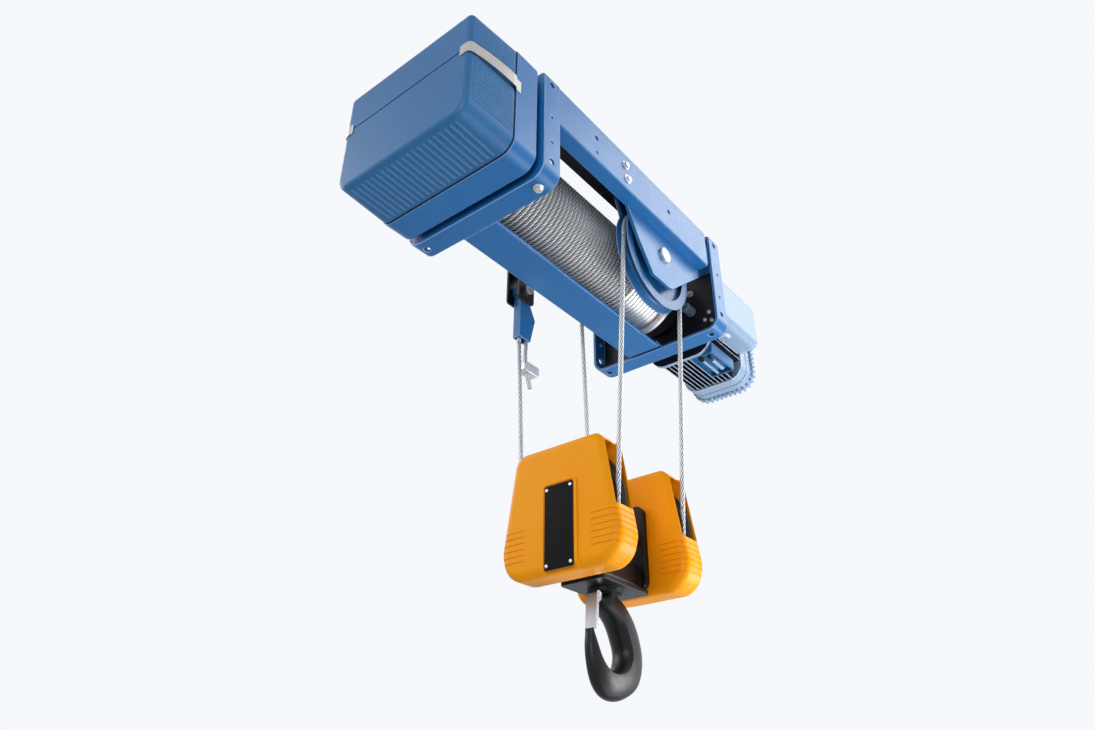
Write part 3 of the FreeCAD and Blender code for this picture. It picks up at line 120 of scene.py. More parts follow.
class Finish:
    """One material, built on the main shader."""

    def __init__(self, name, color, roughness, metallic=0.0, coat=0.0, coat_roughness=0.1, specular=0.5):
        self.material = bpy.data.materials.new(name)
        self.material.use_nodes = True
        self.tree = self.material.node_tree
        self.shader = self.tree.nodes["Principled BSDF"]
        self.shade, self.roughness = (*color, 1.0), roughness
        fixed = {"Base Color": self.shade, "Roughness": roughness, "Metallic": metallic,
                 "Coat Weight": coat, "Coat Roughness": coat_roughness, "Specular IOR Level": specular}
        for socket, value in fixed.items():
            self.shader.inputs[socket].default_value = value
        self.place = self.node("ShaderNodeTexCoord", output="Object")

    def node(self, kind, settings=None, inputs=None, output=0):
        """Any other node: its settings first, then the values or links of its sockets."""
        made = self.tree.nodes.new(kind)
        for key, value in (settings or {}).items():
            setattr(made, key, value)
        for key, value in (inputs or {}).items():
            if isinstance(value, Signal):
                self.tree.links.new(value.socket, made.inputs[key])
            else:
                made.inputs[key].default_value = value
        return Signal(self, made.outputs[output])

    def feed(self, socket, signal):
        self.tree.links.new(signal.socket, self.shader.inputs[socket])

    def noise(self, scale, detail, stretch=(1.0, 1.0, 1.0)):
        spot = self.node("ShaderNodeMapping", {}, {"Vector": self.place, "Scale": stretch})
        return self.node("ShaderNodeTexNoise", {}, {"Vector": spot, "Scale": scale, "Detail": detail})

    def between(self, low, high, signal):
        """0 below low, 1 above high and a slope between."""
        return self.node("ShaderNodeMapRange", {}, {"Value": signal, "From Min": low, "From Max": high})

    def attribute(self, name):
        return self.node("ShaderNodeAttribute", {"attribute_name": name}, output="Fac")

    def mix(self, share, first, second):
        return self.node("ShaderNodeMix", {"data_type": "RGBA"}, {0: share, 6: first, 7: second}, 2)

    def bump(self, height, depth):
        self.feed("Normal", self.node("ShaderNodeBump", {}, {"Height": height, "Distance": depth}))

    def tint(self, share, other):
        """The base colour goes over to another one by a share."""
        self.shade = self.mix(share, self.shade, (*other, 1.0))
        self.feed("Base Color", self.shade)

    def rough(self, share, other):
        """The roughness goes over to another one by a share."""
        worn = self.between(0.0, 1.0, share)
        self.feed("Roughness", (1 - worn) * self.roughness + worn * other)


def painted(name, color, roughness, dark, light, coat=0.12):
    """Sprayed paint: fine orange peel, soft cloudiness, painted highlight on eased edges, painted shade
    on marked faces.
    """
    painted_shade_colour, peel_depth = (0.004, 0.005, 0.010), 0.00003
    paint = Finish(name, color, roughness, coat=coat, coat_roughness=0.22, specular=0.30)
    clouds, specks = paint.noise(9.0, 3.0), paint.noise(420.0, 1.0)
    smears, peel = paint.noise(35.0, 3.0), paint.noise(650.0, 1.0)
    paint.tint(paint.between(0.42, 0.75, clouds) * 0.30, dark)
    # Eased edges go over to the paler colour: a painted highlight.
    paint.tint(paint.attribute("edge") * 0.55, light)
    paint.tint((specks > 0.73) * 0.18, dark)
    # Marked faces go near black: painted shade.
    paint.tint(paint.attribute("painted_shade"), painted_shade_colour)
    paint.rough(smears, roughness + 0.12)
    paint.bump(peel, peel_depth)
    return paint.material


def plastic_skin(name, color, roughness, dark, coat, coat_roughness, specular,
                 grain=900.0, depth=0.00002):
    """Moulded plastic with a fine grain and faint flow marks."""
    plastic = Finish(name, color, roughness, coat=coat, coat_roughness=coat_roughness, specular=specular)
    flow, scuffs = plastic.noise(6.0, 4.0), plastic.noise(60.0, 2.0)
    plastic.tint(plastic.between(0.4, 0.8, flow) * 0.4, dark)
    plastic.rough(scuffs, roughness + 0.1)
    plastic.bump(plastic.noise(grain, 1.0), depth)
    return plastic


def moulded(name, color, roughness, dark, light=None, coat=0.0, coat_roughness=0.2, specular=0.3,
            **surface):
    """Plain plastic parts, whose eased edges may be paler: a painted highlight."""
    plastic = plastic_skin(name, color, roughness, dark, coat, coat_roughness, specular, **surface)
    # Eased edges go over to the paler colour: painted highlight.
    plastic.tint(plastic.attribute("edge") * 0.5, light or color)
    return plastic.material


def parted(name, color, roughness, dark):
    """Orange cover plastic, with the dark line where its two halves meet and pale lips beside it: a
    painted highlight.
    """
    # A paler band each side of the parting line: painted highlight.
    lip_highlight = (0.0030, 0.55, (1.0, 0.66, 0.20))
    gap = (0.0010, 0.85, (0.10, 0.05, 0.012))
    plastic = plastic_skin(name, color, roughness, dark, 0.03, 0.28, 0.10, depth=0.00001)
    across = plastic.node("ShaderNodeSeparateXYZ", {}, {0: plastic.place})
    for reach, share, shade in (lip_highlight, gap):
        for middle in (near_x, rear_x):
            line = plastic.node("ShaderNodeMath", {"operation": "COMPARE"},
                                {0: across, 1: middle, 2: reach})
            plastic.tint(line * share, shade)
    return plastic.material


def metal(name, color, roughness, dark, stretch=(1.0, 1.0, 1.0), scale=300.0, metallic=1.0):
    """Bare metal with fine drawn or turned lines and dull patches."""
    bare = Finish(name, color, roughness, metallic=metallic)
    lines, patches = bare.noise(scale, 2.0, stretch), bare.noise(25.0, 3.0)
    bare.tint(bare.between(0.35, 0.75, lines) * 0.5, dark)
    bare.rough(patches, roughness + 0.15)
    bare.bump(lines, 0.00002)
    return bare.material


def forged(name, color, roughness, rust):
    """A black forging: scale pits, a satin skin and a few brown points."""
    skin = Finish(name, color, roughness, coat=0.04, coat_roughness=0.2, specular=0.22)
    points, satin, pits = skin.noise(18.0, 5.0), skin.noise(80.0, 3.0), skin.noise(240.0, 4.0)
    skin.tint(skin.between(0.5, 0.8, points) * 0.3, rust)
    skin.rough(satin, roughness + 0.2)
    skin.bump(pits, 0.00012)
    return skin.material


def stranded(name, color, roughness, valley_grease_and_shade):
    """Galvanised rope: bright crowns, greasy valleys darkened with painted shade, fine wires across each
    strand.
    """
    dull, greasy = (0.40, 0.39, 0.37), 0.75
    rope = Finish(name, color, roughness, metallic=0.55)
    stains, wires = rope.noise(40.0, 3.0), rope.noise(1100.0, 2.0)
    # The strands' valleys go dark: painted shade. Their higher roughness is grease.
    rope.tint(rope.attribute("valley_grease_and_shade"), valley_grease_and_shade)
    rope.tint(rope.between(0.55, 0.8, stains) * 0.25, dull)
    rope.rough(rope.attribute("valley_grease_and_shade"), greasy)
    rope.bump(wires, 0.00025)
    return rope.material


# The paler last colour of a painted or moulded finish is the painted highlight of its eased edges; the
# last colour of a rope finish is its painted shade between strands.
azure = (0.010, 0.125, 0.345)
finishes = {
    "blue_paint": painted("frame_blue", azure, 0.34, (0.007, 0.095, 0.270), (0.30, 0.47, 0.70)),
    "pale_paint": painted("drive_pale_blue", (0.235, 0.335, 0.465), 0.38, (0.20, 0.30, 0.47),
                          (0.70, 0.79, 0.90)),
    "cover_blue": moulded("lid_blue", (0.016, 0.112, 0.270), 0.44, (0.012, 0.085, 0.215),
                          (0.16, 0.34, 0.58), coat=0.08, coat_roughness=0.35),
    "orange_cover": parted("cover_orange", (0.90, 0.325, 0.002), 0.34, (0.82, 0.268, 0.001)),
    "black_plate": moulded("plate_black", (0.004, 0.004, 0.004), 0.22, (0.006, 0.006, 0.006),
                           (0.10, 0.10, 0.11), specular=0.07, depth=0.0000006),
    "wire_rope": stranded("galvanised_rope", (0.80, 0.81, 0.82), 0.34, (0.035, 0.035, 0.040)),
    "steel": metal("turned_steel", (0.78, 0.79, 0.81), 0.30, (0.56, 0.57, 0.59),
                   stretch=(1.0, 0.06, 0.06), metallic=0.75),
    "strap_steel": metal("brushed_strip", (0.50, 0.47, 0.46), 0.26, (0.34, 0.32, 0.31),
                         stretch=(0.05, 0.05, 1.0), scale=500.0),
    "zinc": metal("bright_zinc", (0.66, 0.67, 0.69), 0.26, (0.50, 0.52, 0.55), scale=120.0, metallic=0.8),
    "hook_black": forged("hook_black", (0.006, 0.006, 0.007), 0.28, (0.016, 0.013, 0.011)),
    "cast_iron": forged("dark_casting", (0.016, 0.017, 0.021), 0.50, (0.028, 0.024, 0.022)),
    "gasket": moulded("seal_rubber", (0.005, 0.005, 0.006), 0.62, (0.010, 0.010, 0.011), grain=300.0),
    "gear_plastic": moulded("grey_plastic", (0.10, 0.10, 0.11), 0.50, (0.07, 0.07, 0.08)),
}
latch_plate = metal("latch_plate", (0.44, 0.45, 0.48), 0.27, (0.32, 0.33, 0.36),
                    stretch=(1.0, 1.0, 0.1), metallic=0.9)
# Near-black paint that stands in for the shade under the top plate: painted shade.
shade_paint = painted("painted_shade_black", (0.006, 0.007, 0.011), 0.55, (0.004, 0.005, 0.008),
                 (0.05, 0.07, 0.10), coat=0.0)
greased_rope = stranded("greased_rope", (0.60, 0.61, 0.63), 0.36, (0.022, 0.022, 0.026))
dark_blue = painted("sheave_blue", (0.008, 0.085, 0.240), 0.34, (0.005, 0.060, 0.180), (0.36, 0.52, 0.74))


# Building helpers

def shown(name, mesh, body, slot, replaced=(), smooth=True, finish=None):
    """A new piece on a body, with the finish of its slot."""
    piece = bpy.data.objects.new(name, mesh)
    bpy.context.scene.collection.objects.link(piece)
    mesh.materials.clear()
    mesh.materials.append(finish or finishes[slot])
    for face in mesh.polygons:
        face.use_smooth = smooth
    if body:
        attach(piece, body)
    if replaced:
        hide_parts(*replaced)
    return piece


def body_of(node):
    return nodes[node]["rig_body"]


def slot_of(node):
    return next(row["material_slot"] for row in frame["record"]["subparts"] if row["node"] == node)


def new_mesh(name, verts, faces):
    mesh = bpy.data.meshes.new(name)
    mesh.from_pydata(verts, [], faces)
    return mesh


def skin_of_rings(rings, around):
    """Faces between one ring of spots and the next, then the two closed ends."""
    faces = []
    for ring in range(rings - 1):
        low, high = ring * around, (ring + 1) * around
        for index in range(around):
            along = (index + 1) % around
            faces.append((low + index, low + along, high + along, high + index))
    faces.append(tuple(reversed(range(around))))
    faces.append(tuple(range((rings - 1) * around, rings * around)))
    return faces


def eased(node, width, segments=2, painted_shade=None, finish=None):
    """A node's form with its sharp edges rounded, so that they catch the light; the rounded faces are
    marked for painted highlight.
    """
    same_spot, flat, sharp = 2e-6, math.radians(0.4), math.radians(32.0)
    form = bmesh.new()
    form.from_mesh(nodes[node].data)
    bmesh.ops.remove_doubles(form, verts=form.verts, dist=same_spot)
    bmesh.ops.dissolve_limit(form, angle_limit=flat, verts=form.verts, edges=form.edges)
    highlight_layer, shade_layer = (form.faces.layers.float.new(kind) for kind in ("edge", "painted_shade"))
    rounded = [edge for edge in form.edges if edge.is_manifold and edge.calc_face_angle(0.0) > sharp]
    made = bmesh.ops.bevel(form, geom=rounded, offset=width, segments=segments, profile=0.5,
                           affect="EDGES", clamp_overlap=False, offset_type="OFFSET")
    # The rounded faces are marked for a painted highlight.
    for face in made["faces"]:
        face[highlight_layer] = 1.0
    # Faces that the test picks are marked for painted shade.
    if painted_shade:
        for face in form.faces:
            face[shade_layer] = float(painted_shade(face.calc_center_median(), face.normal))
    mesh = bpy.data.meshes.new(node + "_form")
    form.to_mesh(mesh)
    form.free()
    piece = shown(node + "_eased", mesh, body_of(node), slot_of(node), (node,), finish=finish)
    weigh = piece.modifiers.new("even_normals", "WEIGHTED_NORMAL")
    weigh.keep_sharp = True


# Rope

def lobed_rope(name, spots, body, replaced=(), finish=None):
    """Six strands laid into one rope: a lobed section that turns along the path."""
    # Share of painted shade at each spot round the section: full between strands, none on their crowns.
    strands, valley_shading = 6, (1.0, 0.25, 0.0, 0.25)
    middle, strand = 2 / 3, 1 / 3
    around = strands * len(valley_shading)
    spacing = 360 / around
    section = []
    for index in range(around):
        part = index % len(valley_shading)
        offset = math.radians(part * spacing - 2 * spacing)
        bulge = math.sqrt(max(strand ** 2 - (middle * math.sin(offset)) ** 2, 0.0))
        section.append(((middle * math.cos(offset) + bulge) * rope_radius, valley_shading[part]))
    verts, dark = [], []
    first = (spots[1] - spots[0]).normalized()
    side = first.orthogonal().normalized()
    gone = 0.0
    for step, spot in enumerate(spots):
        before, after = spots[max(step - 1, 0)], spots[min(step + 1, len(spots) - 1)]
        ahead = (after - before).normalized()
        side = (side - ahead * side.dot(ahead)).normalized()
        up = ahead.cross(side)
        gone += (spot - before).length
        for index, (reach, valley_grease_and_shade) in enumerate(section):
            turn = 2 * math.pi * (index / around + gone / rope_lay)
            verts.append(spot + (side * math.cos(turn) + up * math.sin(turn)) * reach)
            dark.append(valley_grease_and_shade)
    mesh = new_mesh(name, verts, skin_of_rings(len(spots), around))
    mesh.attributes.new("valley_grease_and_shade", "FLOAT", "POINT").data.foreach_set("value", dark)
    return shown(name, mesh, body, "wire_rope", replaced, finish=finish)


def straight(start, end):
    count = max(int((end - start).length / run_spacing), 2)
    return [start.lerp(end, index / count) for index in range(count + 1)]


def fall_start(x, side):
    """Where a fall leaves the upper sheave, the anchor or the drum."""
    if side < 0:
        return Vector((x, sheave_centre.y, sheave_centre.z))
    if x == near_x:
        return Vector((x, anchor_y, fall_top))
    drop = 2 * rope_radius
    lead = groove_pitch / (2 * math.pi * drum_pitch_radius) * drop
    return Vector((wrap_end + lead, drum_axis[0] + drum_pitch_radius, drum_axis[1] - drop))


def touch_angle(x, side):
    """Where on its pulley's rim a fall comes to lie."""
    start = fall_start(x, side)
    rise, across = start.z - block_z, start.y - block_y
    return math.atan2(rise, across) - side * math.acos(sheave_reach / math.hypot(rise, across))


def rim_point(x, angle):
    return Vector((x, block_y + sheave_reach * math.cos(angle), block_z + sheave_reach * math.sin(angle)))


def lead_point(x, side):
    """The end of the short straight run that stays with the pulley."""
    angle = touch_angle(x, side)
    return rim_point(x, angle) + Vector((0, -math.sin(angle), math.cos(angle))) * side * bend_lead


def rope_falls():
    """The four stretches between frame and block, which lengthen as the block goes down."""
    for name, x, side in (("fall_near", near_x, -1), ("fall_rear", rear_x, -1),
                          ("fall_anchor", near_x, 1), ("fall_drum", rear_x, 1)):
        start, end = fall_start(x, side), lead_point(x, side)
        piece = lobed_rope(name + "_strands", straight(start, end), None, (name,))
        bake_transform(piece)


def rope_bends():
    """The rope under the two pulleys of the block and over the upper sheave."""
    under_steps, over_steps = 66, 60
    for name, x in (("near_rope_bend", near_x), ("rear_rope_bend", rear_x)):
        first, last = touch_angle(x, 1), touch_angle(x, -1) - 2 * math.pi
        arc = [rim_point(x, first + (last - first) * index / under_steps)
               for index in range(under_steps + 1)]
        spots = straight(lead_point(x, 1), arc[0]) + arc[1:] + straight(arc[-1], lead_point(x, -1))[1:]
        lobed_rope(name + "_strands", spots, "block", (name,))
    spots = []
    for index in range(over_steps + 1):
        angle = math.pi * index / over_steps
        spots.append(sheave_centre + Vector((-math.cos(angle), 0, math.sin(angle))) * sheave_reach)
    lobed_rope("upper_rope_bend_strands", spots, "frame", ("upper_rope_bend",))


def drum_winding():
    """The whole winding, turn beside turn, with its straight end towards the block."""
    per_turn = 96
    start = wrap_end - turns_wound * groove_pitch
    spots = []
    for index in range(turns_wound * per_turn + 1):
        turn = index / per_turn
        angle = -2 * math.pi * turn
        y = drum_axis[0] + drum_pitch_radius * math.cos(angle)
        z = drum_axis[1] + drum_pitch_radius * math.sin(angle)
        spots.append(Vector((start + groove_pitch * turn, y, z)))
    spots += straight(spots[-1], fall_start(rear_x, 1))[1:]
    lobed_rope("drum_winding_strands", spots, "drum", ("rope_wraps", "rope_core"), finish=greased_rope)


def route_points(points, count):
    """Even points along the smooth line that a route's control points give."""
    curve = bpy.data.curves.new("route", "CURVE")
    curve.dimensions = "3D"
    spline = curve.splines.new("NURBS")
    spline.points.add(len(points) - 1)
    for held, spot in zip(spline.points, points):
        held.co = (*spot, 1.0)
    spline.order_u = 3
    spline.use_endpoint_u = True
    curve.resolution_u = 12
    holder = bpy.data.objects.new("route", curve)
    bpy.context.scene.collection.objects.link(holder)
    mesh = bpy.data.meshes.new_from_object(holder.evaluated_get(bpy.context.evaluated_depsgraph_get()))
    spots = [vert.co.copy() for vert in mesh.vertices]
    bpy.data.objects.remove(holder)
    lengths = [0.0]
    for before, after in zip(spots, spots[1:]):
        lengths.append(lengths[-1] + (after - before).length)
    even, here = [], 0
    for index in range(count + 1):
        wanted = lengths[-1] * index / count
        while here < len(spots) - 2 and lengths[here + 1] < wanted:
            here += 1
        span = max(lengths[here + 1] - lengths[here], 1e-9)
        even.append(spots[here].lerp(spots[here + 1], (wanted - lengths[here]) / span))
    return even


def anchored_end():
    """The held end of the rope, over the wedge and out as a tail."""
    right = near_x + 2 * loop_radius
    up_run = [(near_x, fall_top), (near_x, -0.345), (near_x, -0.315), (near_x, -0.292)]
    over_wedge = [(near_x + 0.001, -0.2805), (near_x + loop_radius, -0.2735), (right - 0.001, -0.2805)]
    down_run = [(right, -0.292), (right, -0.315), (right, -0.350)]
    tail = [(near_x + 0.029, -0.372), (near_x + 0.026, -0.400), (near_x + 0.0265, -0.430),
            (near_x + 0.031, -0.455), (near_x + 0.040, -0.480), (near_x + 0.050, -0.504)]
    plan = up_run + over_wedge + down_run + tail
    steps = 60
    spots = route_points([Vector((x, anchor_y, z)) for x, z in plan], steps)
    lobed_rope("anchored_end_strands", spots, "frame", ("anchor_rope",))


rope_falls()
rope_bends()
drum_winding()
anchored_end()


# Small parts

def lathed(name, profile, spot, axis, body, slot, segments, replaced=()):
    """A turned part: (height, radius) points spun round an axis through a spot."""
    turn = Vector((0, 0, 1)).rotation_difference(Vector(axis)).to_matrix()
    spot = Vector(spot)
    verts = []
    for height, reach in profile:
        for index in range(segments):
            angle = 2 * math.pi * index / segments
            verts.append(spot + turn @ Vector((reach * math.cos(angle), reach * math.sin(angle), height)))
    mesh = new_mesh(name, verts, skin_of_rings(len(profile), segments))
    mesh.set_sharp_from_angle(angle=crease)
    return shown(name, mesh, body, slot, replaced)


def welded(name, parts, body, slot, replaced=()):
    """Several small parts made into one piece."""
    form = bmesh.new()
    for part in parts:
        form.from_mesh(part.data)
        bpy.data.objects.remove(part)
    mesh = bpy.data.meshes.new(name)
    form.to_mesh(mesh)
    form.free()
    mesh.set_sharp_from_angle(angle=crease)
    shown(name, mesh, body, slot, replaced)


def hex_bolt(spot, axis, across=0.0095, height=0.008, spin=0.0):
    """A hexagon head with its chamfered crown, on a washer."""
    rim, thick, bevel, bore = across * 1.28, 0.0018, 0.0004, 0.001
    sides, crown = 6, 0.86
    axis = Vector(axis)
    washer = lathed("bolt_washer", [(0, rim), (thick - bevel, rim), (thick, rim - bevel), (thick, bore)],
                    spot, axis, None, "zinc", 24)
    turn = Vector((0, 0, 1)).rotation_difference(axis).to_matrix() @ Matrix.Rotation(spin, 3, "Z")
    levels = [(thick, across), (thick + height * crown, across), (thick + height, across * crown)]
    verts = []
    for level, reach in levels:
        for index in range(sides):
            angle = math.pi / 3 * index
            corner = Vector((reach * math.cos(angle), reach * math.sin(angle), level))
            verts.append(Vector(spot) + turn @ corner)
    faces = skin_of_rings(len(levels), sides)
    # The end on the washer stays open.
    del faces[-2]
    head = shown("bolt_head", new_mesh("bolt_head", verts, faces), None, "zinc", smooth=False)
    return [washer, head]


def socket_screws(name, spots, axis, body, reach, height):
    """Low round heads with a recess for the driver."""
    shoulder, recess = height * 0.7, height * 0.4
    profile = [(0, reach), (shoulder, reach), (height, reach * 0.8), (height, reach * 0.5),
               (recess, reach * 0.42), (recess, 0.0001)]
    heads = [lathed("screw_head", profile, spot, axis, None, "zinc", 18) for spot in spots]
    welded(name, heads, body, "zinc")


def strap_band(name, plan, side, body, replaced):
    """A spring strip along a smooth line seen from above, with its own thickness."""
    width, wall, level, bend_crease = 0.034, 0.0012, -0.122, math.radians(35)
    steps, taper, taper_start, taper_run = 56, 0.14, 8, 30
    spots = route_points([Vector((x, y, 0)) for x, y in plan], steps)
    verts = []
    for index, spot in enumerate(spots):
        before, after = spots[max(index - 1, 0)], spots[min(index + 1, len(spots) - 1)]
        ahead = (after - before).normalized()
        out = Vector((ahead.y, -ahead.x, 0)) * side
        half = width / 2 * (1.0 - taper * min(max((index - taper_start) / taper_run, 0.0), 1.0))
        for across, along in ((-half, 0), (half, 0), (half, wall), (-half, wall)):
            verts.append(spot + out * along + Vector((0, 0, level + across)))
    mesh = new_mesh(name, verts, skin_of_rings(len(spots), 4))
    mesh.set_sharp_from_angle(angle=bend_crease)
    shown(name, mesh, body, "strap_steel", replaced)


def box_straps():
    """The bowed spring straps that hold the lid, hooked round its front corner."""
    stand, lean, front = 0.2073, 0.1980, -0.6328
    held = [(-0.4800, stand), (-0.4920, stand), (-0.4965, stand + 0.001), (-0.5010, stand + 0.0052)]
    bow = [(-0.5080, stand + 0.0056), (-0.5400, stand + 0.0046), (-0.5800, stand + 0.0012),
           (-0.6130, lean + 0.0045), (-0.6215, lean + 0.0035), (-0.6300, lean)]
    hooked = [(front, lean - 0.0070), (front, lean - 0.0140), (front + 0.0004, lean - 0.0200),
              (front + 0.0004, lean - 0.0270)]
    for y_side, body, node in ((-1, "right_strap", "right_clip"), (1, "left_strap", "left_clip")):
        plan = [(x, box_middle + y_side * reach) for x, reach in held + bow + hooked]
        strap_band(node + "_band", plan, y_side, body, (node,))


box_straps()


# Plates, beams and castings with eased edges

def between_fins(spot, normal):
    """Faces sunk below the motor's rounded square, which get near-black painted shade between its fins.
    """
    half, corner, sunk = 0.096, 0.046, 0.0012
    across = abs(spot.y - motor_axis[0]) - half + corner
    rise = abs(spot.z - motor_axis[1]) - half + corner
    beyond = math.hypot(max(across, 0.0), max(rise, 0.0)) + min(max(across, rise), 0.0) - corner
    return beyond < -sunk


def web_in_shade(spot, normal):
    """The inner face of the far plate's web, which gets near-black painted shade."""
    web_x, facing_in = 0.395, -0.9
    return spot.x > web_x and normal.x < facing_in


eased_nodes = {
    "near_end_plate": 0.0022, "side_beam": 0.0012, "rear_beam": 0.0012,
    "bottom_beam": 0.0012, "beam_splice": 0.0010, "outer_sheave_plate": 0.0016,
    "inner_sheave_plate": 0.0016, "gearbox_housing": 0.0040, "gearbox_cover": 0.0020, "crosshead": 0.0014,
    "anchor_bracket": 0.0010, "anchor_pin": 0.0012, "tail_clamp": 0.0012, "drum_shell": 0.0008,
    "load_plates": 0.0005, "wedge_socket": 0.0012, "enclosure_base": 0.0010,
}
for node, width in eased_nodes.items():
    eased(node, width)
# The top plate is painted near black as painted shade.
eased("top_plate", 0.0010, finish=shade_paint)
eased("far_end_plate", 0.0022, painted_shade=web_in_shade)
eased("upper_sheave", 0.0010, finish=dark_blue)
eased("latch", 0.0004, finish=latch_plate)
for node in ("near_pulley", "rear_pulley"):
    eased(node, 0.0010, finish=finishes["cast_iron"])
eased("motor_housing", 0.0004, 1, painted_shade=between_fins)
eased("motor_end_ring", 0.0020)


# Fasteners and fittings

def frame_fasteners():
    """Hexagon bolts on washers in the side beam and under the near plate's foot."""
    beam_face, foot_face = -0.211, -0.319
    heads = []
    for x, z, spin in ((-0.0820, -0.053, 0.3), (-0.0750, -0.095, 0.8)):
        heads += hex_bolt((x, beam_face, z), (0, -1, 0), height=0.0061, spin=spin)
    heads += hex_bolt((-0.378, -0.173, foot_face), (0, 0, -1), spin=0.5)
    welded("frame_bolt_heads", heads, "frame", "zinc", ("frame_bolts",))


def pin_head():
    """The sheave's pin with its wide round head, bevelled, with a turning centre."""
    inner_end, pin, head, under, end = -0.1117, 0.0199, 0.0220, 0.0688, 0.0773
    profile = [(0, pin - 0.001), (0.001, pin), (under, pin), (under, head), (end - 0.0022, head),
               (end, head - 0.0030), (end, 0.0040), (end - 0.0030, 0.0006)]
    lathed("sheave_pin_turned", profile, (sheave_centre.x, inner_end, sheave_centre.z), (0, -1, 0),
           "frame", "zinc", 48, ("sheave_pin",))


def load_plate_screws():
    """Four small round heads at the corners of each black plate."""
    rows = [(y, z) for y in (0.001, 0.067) for z in (-1.029, -0.855)]
    for name, x, side in (("near_plate_screws", -0.0465, -1), ("rear_plate_screws", 0.3145, 1)):
        spots = [(x, y, z) for y, z in rows]
        socket_screws(name, spots, (side, 0, 0), "block", reach=0.0038, height=0.0016)


def far_web_fasteners():
    """What stands on the black inner face of the far plate: bolts of the drive and a buffer."""
    face, inward = 0.398, (-1, 0, 0)
    heads = hex_bolt((face, -0.1085, -0.142), inward, 0.0085, 0.006, spin=0.4)
    for index, (y, z) in enumerate(((-0.148, -0.248), (-0.169, -0.257), (-0.163, -0.227))):
        heads += hex_bolt((face, y, z), inward, 0.0045, 0.004, spin=0.3 * index)
    welded("far_web_bolts", heads, "frame", "zinc")
    length, reach, bevel, hollow = 0.038, 0.015, 0.003, 0.002
    profile = [(0, reach), (length - bevel, reach), (length, reach - bevel), (length, 0.006),
               (length - hollow, 0.0055), (length - hollow, 0.0005)]
    lathed("far_web_buffer", profile, (face, -0.107, -0.205), inward, "frame", "pale_paint", 36)


def drive_fittings():
    """Two black cable glands under the terminal box, and beside them two pale rods along it."""
    gland_x, gland_z, rod_z, bevel = 0.461, -0.325, -0.3255, 0.001
    for name, y, reach in (("cable_gland_large", -0.092, 0.0090), ("cable_gland_small", -0.118, 0.0065)):
        profile = [(0, reach), (0.004, reach), (0.004, reach * 0.86), (0.007, reach * 0.84),
                   (0.008, reach * 0.74), (0.008, reach * 0.45), (0.004, reach * 0.42), (0.004, 0.0005)]
        lathed(name, profile, (gland_x, y, gland_z), (0, 0, -1), "frame", "gasket", 28)
    for name, start, end, y, reach in (("terminal_rod_long", 0.476, 0.566, -0.089, 0.0042),
                                       ("terminal_rod_short", 0.487, 0.548, -0.113, 0.0060)):
        length = end - start
        profile = [(0, reach - bevel), (bevel, reach), (length - bevel, reach), (length, reach - bevel)]
        lathed(name, profile, (start, y, rod_z), (1, 0, 0), "frame", "pale_paint", 24)


# Ribs of the lid and seam of the fan cover

def rib(start, end, out, width, height, arcs):
    """A straight rounded rib between two spots, its crown out from the face, with sloping ends and a
    painted highlight along its crown.
    """
    steps, sunk, crest_highlight = 5, 0.0004, 1.4
    ahead = (end - start).normalized()
    across = ahead.cross(out)
    length = (end - start).length
    slope = height * 1.6
    rows = [(slope * (1 - math.cos(math.pi / 2 * step / steps)), math.sin(math.pi / 2 * step / steps))
            for step in range(1, steps + 1)]
    rows += [(length - gone, share) for gone, share in reversed(rows)]
    verts = []
    for gone, share in rows:
        for index in range(arcs + 1):
            angle = math.pi * index / arcs
            verts.append(start + ahead * gone + across * (width / 2 * math.cos(angle))
                         + out * (height * share * math.sin(angle) - sunk))
    # The middle line of the crown is marked for a painted highlight.
    crest_highlights = [crest_highlight * float(index == arcs // 2) for row in rows for index in range(arcs + 1)]
    return verts, skin_of_rings(len(rows), arcs + 1), crest_highlights


def lid_ribs():
    """The rounded ribs moulded on the lid's underside and on both its sides."""
    lid_back, draft, low, half = -0.496, 0.006 / 0.136, -0.310, 0.204

    def drawn_in(x):
        return draft * (lid_back - x)

    pieces = []
    front, rear, spacing, outermost, count = -0.6185, -0.5030, 0.016, 0.160, 21
    for index in range(count):
        y = box_middle - outermost + spacing * index
        ends = [Vector((x, y, low + drawn_in(x))) for x in (front, rear)]
        pieces.append(rib(*ends, Vector((0, 0, -1)), width=0.0086, height=0.0027, arcs=8))
    front, rear, spacing = -0.6165, -0.4990, 0.0075
    above_strap = [-0.102 + spacing * step for step in range(11)]
    below_strap = [-0.142 - spacing * step for step in range(17)]
    for side in (-1, 1):
        for z in above_strap + below_strap:
            ends = [Vector((x, box_middle + side * (half - drawn_in(x)), z)) for x in (front, rear)]
            pieces.append(rib(*ends, Vector((0, side, 0)), width=0.0056, height=0.0022, arcs=6))
    verts, faces, crest_highlights = [], [], []
    for spots, sides, crest_highlight in pieces:
        faces += [tuple(len(verts) + index for index in side) for side in sides]
        verts += spots
        crest_highlights += crest_highlight
    mesh = new_mesh("lid_ribs", verts, faces)
    # The crown marks feed the paler edge tint: painted highlight.
    mesh.attributes.new("edge", "FLOAT", "POINT").data.foreach_set("value", crest_highlights)
    shown("lid_grip_ribs", mesh, "frame", "cover_blue")


